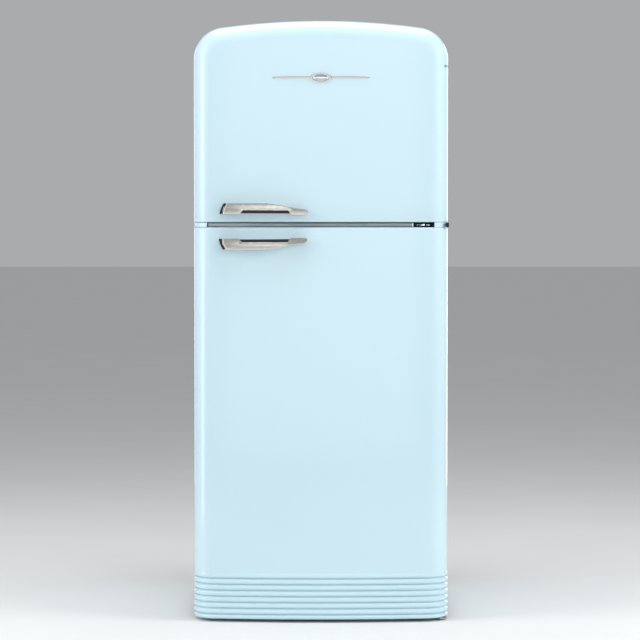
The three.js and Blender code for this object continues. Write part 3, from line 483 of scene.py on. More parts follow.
def make_freezer_door_skin():
    """The arched and bowed door: its edge rolls over all round, and lines run down from it to the gap."""
    edge = top_edge()
    steps = 16
    sections = [(9, DOOR_BACK), (2, DOOR_BACK), (0.6, DOOR_BACK - 0.6), (0, DOOR_BACK - 2)]
    rows = [[(x - nx * d, y, z - nz * d) for x, z, nx, nz in edge] for d, y in sections]
    for k in range(steps + 1):
        angle = k / steps * math.pi / 2
        d = EDGE_ROLL * (1 - math.cos(angle))
        back = EDGE_ROLL * (1 - math.sin(angle))
        rows.append([(x - nx * d, bow(x - nx * d) + back, z - nz * d) for x, z, nx, nz in edge])
    bm = bmesh.new()
    add_grid(bm, rows)
    crown = [row[0] for row in rows] + list(rows[-1][1:-1]) + [row[-1] for row in reversed(rows)]
    plan = with_normals([(x, y) for x, y, z in crown])
    foot = [(inset, GAP_HIGH + rise) for inset, rise in fillet(3)]
    foot = [(4.6, GAP_HIGH)] + foot
    lines = [[(x + nx * inset, y + ny * inset, z) for x, y, nx, ny in plan] for inset, z in foot]
    for z in (GAP_HIGH + 60, TONGUE_POCKET[0] - 8, TONGUE_POCKET[1] + 6):
        lines.append([(x, y, z) for x, y, nx, ny in plan])
    lines.append(crown)
    add_grid(bm, lines)
    skin = smooth_object("freezer_door_panel", bm)
    solidify(skin)
    cut_tongue_pocket(skin)
    stand_for(skin, "freezer_door_skin")
    make_end_plate("freezer_door_foot_plate", "freezer_door", GAP_HIGH + 0.3, GAP_HIGH + 1.3)


def make_cabinet():
    """The cabinet's wrap with rolled front and rear edges, and its front flange with two windows."""
    low = 30
    edge = top_edge()
    loop = [(-HALF, low, -1, 0)] + edge + [(HALF, low, 1, 0)]
    front = [(inset, CABINET_FRONT + rise) for inset, rise in fillet(3, 5)]
    rear = [(inset, CABINET_BACK - rise) for inset, rise in fillet(3, 5)]
    sections = front + [(0, -100), (0, 100)] + rear[::-1] + [(9, CABINET_BACK)]
    bm = bmesh.new()
    add_grid(bm, [[(x - nx * d, y, z - nz * d) for x, z, nx, nz in loop] for d, y in sections])
    wrap = smooth_object("cabinet_wrap", bm)
    solidify(wrap)
    stand_for(wrap, "cabinet_shell")

    curve = bpy.data.curves.new("cabinet_front_flange", "CURVE")
    curve.dimensions = "2D"
    curve.fill_mode = "BOTH"
    curve.extrude = SHEET / 2 * MM
    outer = [(x - nx * 2.6, z - nz * 2.6) for x, z, nx, nz in loop]
    windows = [(341.3, 118.7, 1201.3), (337.3, 1280.7, 1793.3)]  # half width, from and to, for each room
    loops = [outer] + [[(-h, a), (h, a), (h, b), (-h, b)] for h, a, b in windows]
    for points in loops:
        spline = curve.splines.new("POLY")
        spline.points.add(len(points) - 1)
        for point, (x, z) in zip(spline.points, points):
            point.co = (x * MM, z * MM, 0, 1)
        spline.use_cyclic_u = True
    flat = bpy.data.objects.new("cabinet_front_flange", curve)
    bpy.context.scene.collection.objects.link(flat)
    graph = bpy.context.evaluated_depsgraph_get()
    mesh = bpy.data.meshes.new_from_object(flat.evaluated_get(graph))
    bpy.data.objects.remove(flat)
    for vertex in mesh.vertices:
        x, z, y = vertex.co
        vertex.co = (x, -y + (CABINET_FRONT + 0.8) * MM, z)
    flange = bpy.data.objects.new("cabinet_front_flange", mesh)
    bpy.context.scene.collection.objects.link(flange)
    install(flange, "cabinet", "pastel_enamel")


# ---------------------------------------------------------------- handles
HANDLE = {"length": 274, "height": 34, "slant": 13, "drop": 2.5, "notch": (62, 74, 211, 222), "depth": 11,
    "wall": 13}
END_BAND = 5.2


def bezier(points, steps):
    """Points of a quadratic or cubic curve after its first."""
    made = []
    for i in range(1, steps + 1):
        t = i / steps
        line = points
        while len(line) > 1:
            line = [tuple(p + (q - p) * t for p, q in zip(a, b)) for a, b in zip(line, line[1:])]
        made.append(line[0])
    return made


def slanted_end():
    """The curved left edge of the front view, from the curved side down to the flat side."""
    start = (HANDLE["slant"], HANDLE["height"])
    return [start] + bezier([start, (HANDLE["slant"] * 0.22, HANDLE["height"] / 2), (0, 0)], 10)


def handle_outline():
    """Front view: the flat edge on z = 0 with its finger notch, and the long curved edge above it."""
    length, height, depth, drop = (HANDLE[key] for key in ("length", "height", "depth", "drop"))
    a, b, c, d = HANDLE["notch"]
    points = [(0, 0), (a, 0), (b, depth), (c, depth - 1), (d, -drop / 2), (d + 8, -drop),
        (length - 13, -drop)]
    points += bezier([points[-1], (length, -drop), (length, 5)], 10)
    points += bezier([points[-1], (length - 2, 13), (length - 15, 15.5)], 8)
    points += bezier([points[-1], (length - 35, 17), (length - 44, 19)], 8)
    points += bezier([points[-1], (length - 90, 29), (165, height), (118, height)], 24)
    return points + slanted_end()[:-1]


def grip_front(x):
    return HANDLE_PEAK + 22 * (1 - math.sin(math.pi * (0.16 + 0.7 * x / HANDLE["length"])))


def handle_plan(left):
    """Plan: feet on the door, and a grip that stands clear of it between them."""
    length, wall = HANDLE["length"], HANDLE["wall"]
    a, b, c, d = HANDLE["notch"]
    steps = 40
    points = [(left + length * i / steps, grip_front(length * i / steps)) for i in range(steps + 1)]
    points += [(left + length, bow(left + length)), (left + d, bow(left + d))]
    points += [(left + x, grip_front(x) + wall) for x in (c - 12, 170, 142, 114, b + 12)]
    return points + [(left + a, bow(left + a)), (left, bow(left))]


def cast(piece, voxel, rounds):
    """Rounds every edge by remeshing and smoothing, as on a die casting."""
    remesh = piece.modifiers.new("remesh", "REMESH")
    remesh.mode = "VOXEL"
    remesh.voxel_size = voxel * MM
    soften = piece.modifiers.new("soften", "SMOOTH")
    soften.factor = 0.5
    soften.iterations = rounds
    apply_modifiers(piece)
    piece.data.shade_smooth()
    return piece


def from_end(x, z):
    """How far a point of the handle's front view lies from its slanted left end."""
    slope = HANDLE["slant"] / HANDLE["height"]
    bulge = 1.8 * math.sin(math.pi * min(1, max(0, z / HANDLE["height"])))
    return (x - slope * z + bulge) / math.hypot(1, slope)


def facet_depth(x, z):
    """How far the grip's front lies behind its plan: two bevels, a crown and a falling tip."""
    b, c = HANDLE["notch"][1:3]
    along = ease((x - b + 14) / 14) * (1 - ease((x - c) / 14))
    end_bevel = 6 * (1 - ease((from_end(x, z) - END_BAND) / 8))
    notch_bevel = 4.5 * along * (1 - ease((z - HANDLE["depth"] + 1) / 7.5))
    tip_fall = 5.5 * ease((x - 208) / 64)
    return end_bevel + notch_bevel + tip_fall + 1.8 * ((z - 19) / 16) ** 2


def facet(piece, left, flat_z, way):
    """Sinks the dense mesh's front by facet_depth, and less towards its back."""
    for vertex in piece.data.vertices:
        x, y, z = (value / MM for value in vertex.co)
        x, z = x - left, way * (z - flat_z)
        share = ease((grip_front(x) + HANDLE["wall"] - y) / HANDLE["wall"])
        vertex.co.y += facet_depth(x, z) * share * MM


def make_handle(node, left, flat_z, way):
    """A die-cast handle with its dark inlay, and a dark band at its left end that paints the dark reflection
    of its polished curved end; way is -1 for the mirrored lower one.
    """

    def front_view(points, near=-400, far=-300):
        bm = bmesh.new()
        add_prism(bm, points, lambda x, z, y: (left + x, y, flat_z + way * z), near, far)
        return bm

    def plan_view(points):
        bm = bmesh.new()
        add_prism(bm, points, flat, flat_z - 60, flat_z + 60)
        return bm

    height = HANDLE["height"]
    slant = slanted_end()
    band = [(x + END_BAND, z) for x, z in reversed(slant)]
    rest = [(END_BAND - 4, -9), *band, (band[-1][0] + 3, height + 6), (300, height + 6), (300, -9)]
    front = front_view(handle_outline())
    trim = front_view(rest, -420, -280)
    grip = shared(node + "_casting", front, plan_view(handle_plan(left)), trim)
    facet(cast(grip, 0.9, 5), left, flat_z, way)
    stand_for(grip, node)

    # The dark band at the left end is painted reflection: black where the polished curved end would mirror
    # dark surroundings.
    end = front_view(slant + [(x - 0.4, z) for x, z in band])
    set_back = [(x, y + 4.5) for x, y in handle_plan(left)[:8]]
    dark_reflection_band = shared(node + "_end", end, plan_view(set_back + [(left + 40, -330), (left - 4, -330)]))
    install(cast(dark_reflection_band, 0.8, 4), body_of_node(node), "satin_nickel", look="handle_black_and_dark_reflection")

    a, b, c, d = HANDLE["notch"]
    top = HANDLE["depth"] + 1.5
    slot = [(a + 3, 3.4), (a + 6, 2.6), (d - 4, 1.8), (d, 2.6), (c + 1, top - 1), (b - 1, top)]
    across = range(a - 4, d + 6, 6)
    behind = [(left + x, grip_front(x) + 4.5) for x in across]
    behind += [(left + x, grip_front(x) + 11) for x in across[::-1]]
    inlay = shared(node + "_inlay", front_view(slot), plan_view(behind))
    bevel(inlay, 0.5, 2)
    install(inlay, body_of_node(node), "satin_nickel", look="handle_black_and_dark_reflection")


# ---------------------------------------------------------------- shapes that many pieces share
def refine(node, width=1.0, segments=2, name=None):
    """A piece for a CAD node whose shape is right: flat faces joined up, and its edges rounded."""
    bm = bmesh.new()
    bm.from_mesh(frame["nodes"][node].data)
    bmesh.ops.scale(bm, vec=(1 / MM, 1 / MM, 1 / MM), verts=bm.verts)
    bmesh.ops.dissolve_limit(bm, angle_limit=math.radians(1), verts=bm.verts, edges=bm.edges)
    piece = smooth_object(name or node + "_rounded", bm)
    rounding = bevel(piece, width, segments)
    rounding.use_clamp_overlap = True
    return stand_for(piece, node)


def round_rect(x0, x1, z0, z1, radius, steps=7):
    """Points of a rectangle with round corners, anticlockwise."""
    points = []
    corners = ((x1, z0, -1, 1, -90), (x1, z1, -1, -1, 0), (x0, z1, 1, -1, 90), (x0, z0, 1, 1, 180))
    for x, z, dx, dz, start in corners:
        for i in range(steps + 1):
            angle = math.radians(start + 90 * i / steps)
            points.append((x + radius * (dx + math.cos(angle)), z + radius * (dz + math.sin(angle))))
    return points


def loft(bm, size, radius, profile, place, cap_first=True, cap_last=True):
    """Rings round a rectangle, one for each (inset, height), put in space by place(u, v, height)."""
    x0, x1, z0, z1 = size
    rows = []
    for inset, height in profile:
        ring = round_rect(x0 + inset, x1 - inset, z0 + inset, z1 - inset, max(radius - inset, 0.8))
        rows.append([place(u, v, height) for u, v in ring])
    verts = add_grid(bm, rows, closed=True)
    if cap_first:
        bm.faces.new(verts[0][::-1])
    if cap_last:
        bm.faces.new(verts[-1])


def flat(u, v, height):
    return (u, v, height)


def upright(u, v, height):
    return (u, height, v)


def sideways(u, v, height):
    return (height, u, v)


def turn(bm, profile, centre, axis="z", segments=40):
    """A turned solid from (radius, height) points; it is closed where the profile meets the axis."""
    swap = {"z": lambda a, b, h: (a, b, h), "y": lambda a, b, h: (a, h, b), "x": lambda a, b,
        h: (h, a, b)}[axis]
    rows = []
    for radius, height in profile:
        ring = []
        for i in range(segments):
            angle = 2 * math.pi * i / segments
            point = swap(radius * math.cos(angle), radius * math.sin(angle), height)
            ring.append(tuple(c + p for c, p in zip(centre, point)))
        rows.append(ring)
    add_grid(bm, rows, closed=True)


def tube(bm, points, radius, sides=12, ends=True):
    """A round bar along points."""
    points = [Vector(point) for point in points]
    side = None
    rows = []
    for i, point in enumerate(points):
        along = (points[min(i + 1, len(points) - 1)] - points[max(i - 1, 0)]).normalized()
        if side is None:
            side = along.orthogonal().normalized()
        side = (side - along * side.dot(along)).normalized()
        other = along.cross(side)
        ring = []
        for k in range(sides):
            angle = 2 * math.pi * k / sides
            ring.append(point + radius * (math.cos(angle) * side + math.sin(angle) * other))
        rows.append(ring)
    verts = add_grid(bm, rows, closed=True)
    if ends:
        bm.faces.new(verts[0][::-1])
        bm.faces.new(verts[-1])


def soften_corners(points, radius, steps=6):
    """A polyline with its corners rounded off."""
    points = [Vector(point) for point in points]
    made = [points[0]]
    for a, b, c in zip(points, points[1:], points[2:]):
        reach = min(radius, (b - a).length / 2, (c - b).length / 2)
        start = b + (a - b).normalized() * reach
        end = b + (c - b).normalized() * reach
        made += [start] + [Vector(p) for p in bezier([tuple(start), tuple(b), tuple(end)], steps)]
    return made + [points[-1]]


def block(bm, x0, x1, y0, y1, z0, z1, radius=1.0):
    """A block with rounded upright edges and small chamfers at its ends."""
    rim = min(radius, (z1 - z0) / 3)
    profile = [(rim, z0), (rim * 0.3, z0 + rim * 0.3), (0, z0 + rim), (0, z1 - rim),
        (rim * 0.3, z1 - rim * 0.3), (rim, z1)]
    loft(bm, (x0, x1, y0, y1), radius + 0.8, profile, flat)


def screws(name, body, places, axis, way, radius=4.0):
    """Pan-head screws with a socket, on a face that looks along the axis, forwards or backwards by way."""
    bm = bmesh.new()
    dome = [(0, 0.9), (0.42, 0.9), (0.46, 1.75), (0.6, 1.8), (0.85, 1.5), (1.0, 0.8), (1.0, -0.1)]
    for place in places:
        turn(bm, [(r * radius, way * h * radius * 0.32) for r, h in dome], place, axis, 20)
    install(smooth_object(name, bm), body, "zinc_steel")


def quick_piece(name, node, bm, sharp=40, slot=None, look=None):
    """A smooth piece that rides with a node's body; it stands for the node unless a slot is given."""
    piece = smooth_object(name, bm, sharp)
    if slot:
        return install(piece, body_of_node(node), slot, look=look)
    return stand_for(piece, node)


# ---------------------------------------------------------------- trims on the front
def make_badge():
    """A blank bar-and-oval emblem that follows the door's bow."""
    z, half, bar = 1695, 152, 4.2
    bm = bmesh.new()
    rows = []
    steps = 72
    for i in range(steps + 1):
        x = -half + 2 * half * i / steps
        taper = math.sqrt(max(0.02, 1 - (abs(x) / (half + 0.5)) ** 14))
        ring = []
        for k in range(14):
            angle = math.pi * k / 13
            ring.append((x, bow(x) - 2.6 * taper * math.sin(angle), z + bar * taper * math.cos(angle)))
        rows.append(ring)
    ends = add_grid(bm, rows)
    bm.faces.new([row[0] for row in ends] + [row[-1] for row in reversed(ends)])
    bm.faces.new(ends[0])
    bm.faces.new(ends[-1][::-1])
    quick_piece("badge_bar", "badge", bm)
    bm = bmesh.new()
    profile = [(1.0, 0.2), (1.0, -1.6), (0.96, -3.2), (0.88, -4.0), (0.78, -3.6), (0.72, -2.9), (0.66, -3.0)]
    profile += [(0.5, -3.9), (0.3, -4.5), (0.12, -4.75), (0.0, -4.8)]
    rows = []
    for r, y in profile:
        around = [2 * math.pi * k / 64 for k in range(64)]
        rows.append([(34 * r * math.cos(a), bow(34 * r * math.cos(a)) + y, z + 15 * r * math.sin(a))
            for a in around])
    ends = add_grid(bm, rows, closed=True)
    bm.faces.new(ends[0])
    quick_piece("badge_oval", "badge", bm, 60, "bright_chrome")


STRIP = {"left": -352, "right": 285, "low": 1233, "high": 1246.5, "front": -296}


def make_mullion():
    """The grey rail between the doors, its painted end, and the control display in it."""
    low, high, front = STRIP["low"], STRIP["high"], STRIP["front"]
    section = [(front + 2.4, low), (front + 1.5, low + 0.8), (front + 0.8, low + 2), (front + 0.2, low + 4)]
    section += [(front, low + 6.5), (front, high - 3), (front + 0.4, high - 1.2), (front + 1.6, high)]
    section += [(-241, high), (-241, low)]
    bm = bmesh.new()
    rows = [[(x, y, z) for y, z in section]
        for x in (STRIP["left"], STRIP["left"] + 3, STRIP["right"] - 3, STRIP["right"])]
    add_bar(bm, rows)
    quick_piece("mullion_rail", "mullion_strip", bm)
    refine("mullion_end", 1.2, 3)

    x0, x1 = STRIP["right"] + 4, 350
    bm = bmesh.new()
    face = [(0, -241), (0, front - 0.6), (0.4, front - 1.5), (1.3, front - 1.9)]
    loft(bm, (x0, x1, low - 0.3, high + 0.3), 2.2, face, upright)
    quick_piece("display_glass", "control_display", bm)
    bm = bmesh.new()
    middle = (low + high) / 2
    y = front - 1.95
    marks = [(299.5 + 3.4 * i, middle - 0.4, 0.7, 0.8) for i in range(3)]
    marks += [(312.5 + 3.2 * i, middle - 0.6 + 0.3 * i, 1.1, 1.2 + 0.45 * i) for i in range(4)]
    marks += [(330 + 3.8 * i, middle - 0.4, 1.1, 1.0) for i in range(3)]
    for x, z, wide, tall in marks:
        size = (x - wide, x + wide, z - tall, z + tall)
        loft(bm, size, 0.9, [(0, y + 0.2), (0, y - 0.1), (0.3, y - 0.2)], upright, False)
    quick_piece("display_marks", "control_display", bm, slot="display_black", look="display_mark")
    bm = bmesh.new()
    loft(bm, (x0 - 3.4, x0 - 0.4, low, high), 0.8, [(0, -241), (0, front - 2.2), (0.6, front - 2.8)], upright)
    quick_piece("display_bezel", "control_display", bm, slot="bright_chrome")


def make_hinges():
    for node in ("top_hinge_bracket", "bottom_hinge_bracket"):
        refine(node, 0.8, 3)
    cover = refine("middle_hinge_bracket", 1.0, 3)
    middle = (GAP_LOW + GAP_HIGH) / 2 * MM
    for vertex in cover.data.vertices:
        if abs(vertex.co.z - middle) < 8 * MM:
            vertex.co.z = middle + (vertex.co.z - middle) * 1.13
    bm = bmesh.new()
    block(bm, 391.2, 399.6, -303, -262, GAP_LOW + 1.2, GAP_HIGH - 1.2, 2.5)
    quick_piece("middle_hinge_cap", "middle_hinge_bracket", bm, slot="black_rubber")
    screws("middle_hinge_screws", "cabinet", [(362, -243.4, 1229.3), (375, -243.4, 1229.3)], "y", -1, 1.6)
    screws("bottom_hinge_screws", "cabinet", [(x, -243.6, z) for x in (360, 384) for z in (30, 68)], "y", -1)
    screws("top_hinge_screws", "cabinet", [(x, -238.5, z) for x in (357, 371) for z in (1712, 1754)], "y",
        -1, 3)
    for node in ("top_hinge_pin", "middle_hinge_pin", "bottom_hinge_pin"):
        low, high = heights_of(node)
        bm = bmesh.new()
        turn(bm, [(0, low), (4, low), (5, low + 1), (5, high - 1.5), (3.8, high), (0, high)], HINGE_AXIS)
        quick_piece(node + "_turned", node, bm)
    for node in ("freezer_door_bush_top", "freezer_door_bush_bottom", "fridge_door_bush_top",
        "fridge_door_bush_bottom"):
        low, high = heights_of(node)
        ring = [(5.4, low + 0.6), (6, low), (8.4, low), (9, low + 0.6), (9, high - 0.6), (8.4, high),
            (6, high), (5.4, high - 0.6)]
        bm = bmesh.new()
        turn(bm, ring + ring[:1], HINGE_AXIS)
        quick_piece(node + "_turned", node, bm)


# ---------------------------------------------------------------- the doors' insides
def make_gasket(node, low, high, radius):
    section = [(0, -251.8), (0, -249.4), (2.2, -248), (0.4, -246.4), (0.2, -242), (1.4, -240.5), (6, -240.3)]
    section += [(15, -240.3), (20.2, -240.5), (21.6, -242), (21.4, -246.4), (19.4, -248), (21.6, -249.4),
        (21.6, -251.8)]
    bm = bmesh.new()
    loft(bm, (-374, 374, low, high), radius, section + section[:1], upright, False, False)
    quick_piece(node + "_bellows", node, bm, 60)


def make_door_inside(door, outline, dyke, bins):
    """The vacuum-formed inner panel: a flat margin, and a raised border round a recess with bin lugs."""
    node = door + "_liner"
    half, low, high = dyke
    bm = bmesh.new()
    add_prism(bm, outline, upright, -255.2, -252.4)
    margin = smooth_object(node + "_margin", bm)
    if door == "freezer_door":
        cut_tongue_pocket(margin)
    install(margin, body_of_node(node), "white_liner")
    bevel(margin, 0.8, 2)
    section = [(-5, -252.4), (-1.6, -251.6), (-0.2, -248.5), (1.4, -213), (3, -208.4), (6.5, -206.2),
        (11.5, -206.2)]
    section += [(15, -208.4), (16.6, -213), (18, -246), (20, -250), (24, -252), (52, -252), (55, -251.2),
        (58, -249.6)]
    bm = bmesh.new()
    loft(bm, (-half, half, low, high), 26, section + [(62, -249.2)], upright, False)
    panel = quick_piece(node + "_panel", node, bm, 50)
    solidify(panel, 1.2)
    bm = bmesh.new()
    for z in bins:
        for side in (-1, 1):
            x = side * (half - 18.2)
            size = (x - 1.3, x + 1.3, z - 14, z + 14)
            loft(bm, size, 1.2, [(0, -232), (0, -216), (0.6, -214)], upright)
    quick_piece(node + "_lugs", node, bm, slot="white_liner")


def arched_outline(inset, low):
    edge = [(x - nx * inset, z - nz * inset) for x, z, nx, nz in top_edge()]
    return [(-(HALF - inset), low)] + edge + [(HALF - inset, low)]


def make_tray(name, node, x0, x1, y0, y1, z0, z1, wall=2.4, radius=14, lip=1.4):
    """An open bin: drafted walls with a rolled rim, and a rounded floor, in one closed skin."""
    outside = [(7, z0), (3, z0 + 0.7), (1.4, z0 + 2.4), (0.8, z0 + 6), (0, z1 - 7), (-lip, z1 - 5.6)]
    rim = [(-lip, z1 - 1.4), (-lip * 0.4, z1 - 0.3), (wall * 0.6, z1), (wall + 0.3, z1 - 0.6),
        (wall + 0.4, z1 - 2.4)]
    inside = [(wall + 0.8, z0 + 8), (wall + 1.8, z0 + 4.6), (wall + 4, z0 + 3.0), (wall + 8, z0 + wall)]
    bm = bmesh.new()
    loft(bm, (x0, x1, y0, y1), radius, outside + rim + inside, flat)
    return quick_piece(name, node, bm, 50)


def make_door_bins():
    bins = {
        "freezer_door_bin_lower": (1316, 1392),
        "freezer_door_bin_upper": (1560, 1626),
        "bottle_bin": (504, 600),
        "door_balcony": (750, 826),
        "dairy_tray": (960, 1010),
    }
    for node, (low, high) in bins.items():
        make_tray(node + "_moulded", node, -305, 305, -249.5, -152.5, low, high)
        bm = bmesh.new()
        band = [(0, -153.0), (0, -151.6), (0.8, -150.9)]
        loft(bm, (-298, 298, high - 15, high - 8.5), 2.5, band, upright)
        quick_piece(node + "_band", node, bm, slot="bright_chrome")


def make_dairy_lid():
    path = [(-244, 1100), (-243.2, 1104), (-240, 1105)]
    path += bezier([(-240, 1105), (-190, 1106), (-168, 1100), (-160, 1074)], 14)
    path += bezier([(-160, 1074), (-155.5, 1050), (-153.5, 1030), (-153, 1013.5)], 8)
    bm = bmesh.new()
    add_bar(bm, [[(x, y, z) for y, z in path] for x in (-304.5, -300, 300, 304.5)], closed=False)
    lid = smooth_object("dairy_lid_shell", bm)
    bevel(lid, 3, 4, 60)
    solidify(lid, 2.2)
    stand_for(lid, "dairy_lid")
    bm = bmesh.new()
    tube(bm, [(-306, -238, 1100), (306, -238, 1100)], 3)
    quick_piece("dairy_lid_pin", "dairy_lid", bm, slot="grey_plastic")
    bm = bmesh.new()
    block(bm, -60, 60, -153.5, -147.5, 1016, 1024, 2.4)
    quick_piece("dairy_lid_pull", "dairy_lid", bm, slot="white_liner")


# ---------------------------------------------------------------- cabinet interior
def make_cavity(node, half, profile, rail_rows, rail_inset=7):
    """A liner: the inside of a moulded box that is open to the front, with shelf rails on its sides."""
    bm = bmesh.new()
    left = [bm.verts.new((-half, y, z)) for y, z in profile]
    right = [bm.verts.new((half, y, z)) for y, z in profile]
    for i in range(len(profile) - 1):
        bm.faces.new((left[i], left[i + 1], right[i + 1], right[i]))
    bm.faces.new(left[::-1])
    bm.faces.new(right)
    inner = [e for e in bm.edges if len(e.link_faces) == 2]
    bmesh.ops.bevel(bm, geom=inner, offset=16, segments=6, profile=0.5, affect="EDGES", clamp_overlap=True)
    liner = smooth_object(node + "_formed", bm)
    middle = Vector((0, 0.1, (profile[0][1] + profile[-1][1]) / 2 * MM))
    inwards = sum(face.normal.dot(middle - face.center) for face in liner.data.polygons)
    solidify(liner, 2.2, -1 if inwards > 0 else 1)
    stand_for(liner, node)
    bm = bmesh.new()
    for z, back in rail_rows:
        for side in (-1, 1):
            x0, x1 = sorted((side * (half - rail_inset), side * (half + 0.5)))
            profile = [(1.8, -125), (0.5, -124.4), (0, -122), (0, back)]
            loft(bm, (x0, x1, z - 6.3, z - 0.3), 2.4, profile, upright)
    quick_piece(node + "_rails", node, bm, slot="white_liner")


def make_liners():
    fridge = [(-240, 122), (122, 122), (122, 345), (300, 345), (300, 1198), (-240, 1198)]
    rows = [(z, 300) for z in (1000, 810, 500, 655, 470)] + [(346, 122), (300, 122)]
    make_cavity("fridge_liner", 338, fridge, rows)
    freezer = [(-240, 1284), (290, 1284), (290, 1790), (-240, 1790)]
    make_cavity("freezer_liner", 334, freezer, [(1530, 191)])


def make_shelf(node, half, z, back, front=-136):
    """Toughened glass in moulded front and rear trims."""
    bm = bmesh.new()
    pane = [(1, z), (0.3, z + 0.3), (0, z + 1), (0, z + 3), (0.3, z + 3.7), (1, z + 4)]
    loft(bm, (-half, half, front + 0.6, back), 5, pane, flat)
    quick_piece(node + "_glass", node, bm)
    bm = bmesh.new()
    section = [(front - 1, z - 2), (front - 3.4, z), (front - 4, z + 4), (front - 3.2, z + 8.6),
        (front - 1.4, z + 10)]
    section += [(front - 0.2, z + 9), (front, z + 4.5), (front + 9, z + 4.6), (front + 10, z + 4.1),
        (front + 0.4, z + 4.05)]
    section += [(front + 0.4, z - 0.05), (front + 10, z - 0.1), (front + 8, z - 2)]
    narrow = [(y + (0.3 if y < front else -0.3), h) for y, h in section]
    stations = ((-half, narrow), (-half + 1.5, section), (half - 1.5, section), (half, narrow))
    add_bar(bm, [[(x, y, h) for y, h in line] for x, line in stations])
    quick_piece(node + "_front_trim", node, bm, slot="white_liner")
    bm = bmesh.new()
    block(bm, -half + 2, half - 2, back - 7, back - 0.4, z + 4.1, z + 9, 1.6)
    quick_piece(node + "_rear_trim", node, bm, slot="white_liner")


def make_shelves():
    for node, z in (("shelf_upper", 1000), ("shelf_middle", 810), ("shelf_lower", 500)):
        make_shelf(node, 336, z, 281)
    make_shelf("freezer_shelf", 332, 1530, 190)
    bm = bmesh.new()
    pane = [(1, 346), (0.2, 346.4), (0, 347), (0, 349), (0.3, 349.7), (1, 350)]
    loft(bm, (-336, 336, -131.5, 121), 5, pane, flat)
    quick_piece("crisper_cover_glass", "crisper_cover", bm)
    z = 655
    bm = bmesh.new()
    for y in (-132, -30, 70, 175, 277):
        tube(bm, [(-335, y, z + 2.5), (335, y, z + 2.5)], 2.5)
    for i in range(6):
        middle = -335 + (i + 0.5) * 670 / 6
        for side in (-1, 1):
            x = middle + side * 24
            path = [(x, -130, z + 13), (x, -135, z + 9), (x, -135, z + 4.5), (x, -126, z + 4.5),
                (x, 277, z + 4.5)]
            tube(bm, soften_corners(path, 5), 2.2)
    quick_piece("bottle_rack_wires", "bottle_rack", bm)


def make_drawer(node, half, front, back, low, high, runner):
    make_tray(node + "_tub", node, -half, half, front, back, low, high, 3, 16, 0.6)
    bm = bmesh.new()
    size = (-half, half, high - 26, high + 3)
    loft(bm, size, 5, [(0, front - 0.1), (0, front - 2.4), (0.5, front - 3.4), (1.6, front - 3.9)], upright)
    grip = [(0, front - 3), (0, front - 7), (1.2, front - 8), (4, front - 8)]
    loft(bm, (-90, 90, high - 22, high - 14), 4, grip, upright)
    quick_piece(node + "_front_rail", node, bm, slot="white_liner")
    bm = bmesh.new()
    for side in (-1, 1):
        x0, x1 = sorted((side * 335.6, side * (half - 0.5)))
        block(bm, x0, x1, -100, back - 4, runner, runner + 4, 1.4)
    quick_piece(node + "_runners", node, bm, slot="grey_plastic")


def make_ice_maker():
    refine("ice_maker_frame", 1.6, 3)
    x, z, front, back = -195, 1722, -110, 170
    y0, y1 = front + 8, back - 8
    bm = bmesh.new()
    step = (y1 - y0) / 4
    for i in range(4):
        for a, b in ((x - 48, x), (x, x + 48)):
            size = (a, b, y0 + i * step, y0 + (i + 1) * step)
            mouth = [(0, z + 9), (2, z + 9), (3, z + 8.4), (3.8, z + 6), (7, z - 14), (10, z - 19),
                (15, z - 20.6)]
            rows = []
            for k, (inset, height) in enumerate(mouth):
                radius = 0.4 if k == 0 else 9 - k * 0.3
                ring = round_rect(size[0] + inset, size[1] - inset, size[2] + inset, size[3] - inset, radius)
                rows.append([(u, v, height) for u, v in ring])
            bm.faces.new(add_grid(bm, rows, closed=True)[-1])
    rows = [[(u, v, h) for u, v in round_rect(x - 48, x + 48, y0, y1, 0.4)] for h in (z + 9, z + 9.5, z - 2)]
    rows[1] = [(x + (u - x) * 1.012, (y0 + y1) / 2 + (v - (y0 + y1) / 2) * 1.004, h) for u, v, h in rows[1]]
    add_grid(bm, rows, closed=True)
    piece = smooth_object("ice_tray_pockets", bm, 50)
    solidify(piece, 1.1, 0)
    stand_for(piece, "ice_tray")
    bm = bmesh.new()
    ribs = [(0, -134), (8, -134), (17, -133), (19, -131), (19, -117), (17.5, -115.4), (8, -115), (8, -101),
        (0, -101)]
    turn(bm, ribs, (x, 0, z), "y", 48)
    turn(bm, [(0, 160.5), (7.9, 160.5), (7.9, 171), (7, 172), (0, 172)], (x, 0, z), "y")
    loft(bm, (x - 4, x + 4, z - 18, z + 18), 3, [(0, -132), (0, -138), (1, -139.6), (2, -140)], upright)
    quick_piece("ice_tray_knob", "ice_tray", bm, slot="grey_plastic")


def make_light():
    bm = bmesh.new()
    loft(bm, (-130, 130, -70, -24), 9, [(0, 1197.7), (0, 1195), (1.2, 1193.8), (4, 1193.6)], flat)
    quick_piece("ceiling_light_bezel", "ceiling_light", bm, slot="white_liner")
    bm = bmesh.new()
    loft(bm, (-124, 124, -65, -29), 7, [(0, 1194), (0.6, 1192.6), (3, 1191.4), (9, 1190.9)], flat)
    quick_piece("ceiling_light_lens", "ceiling_light", bm)


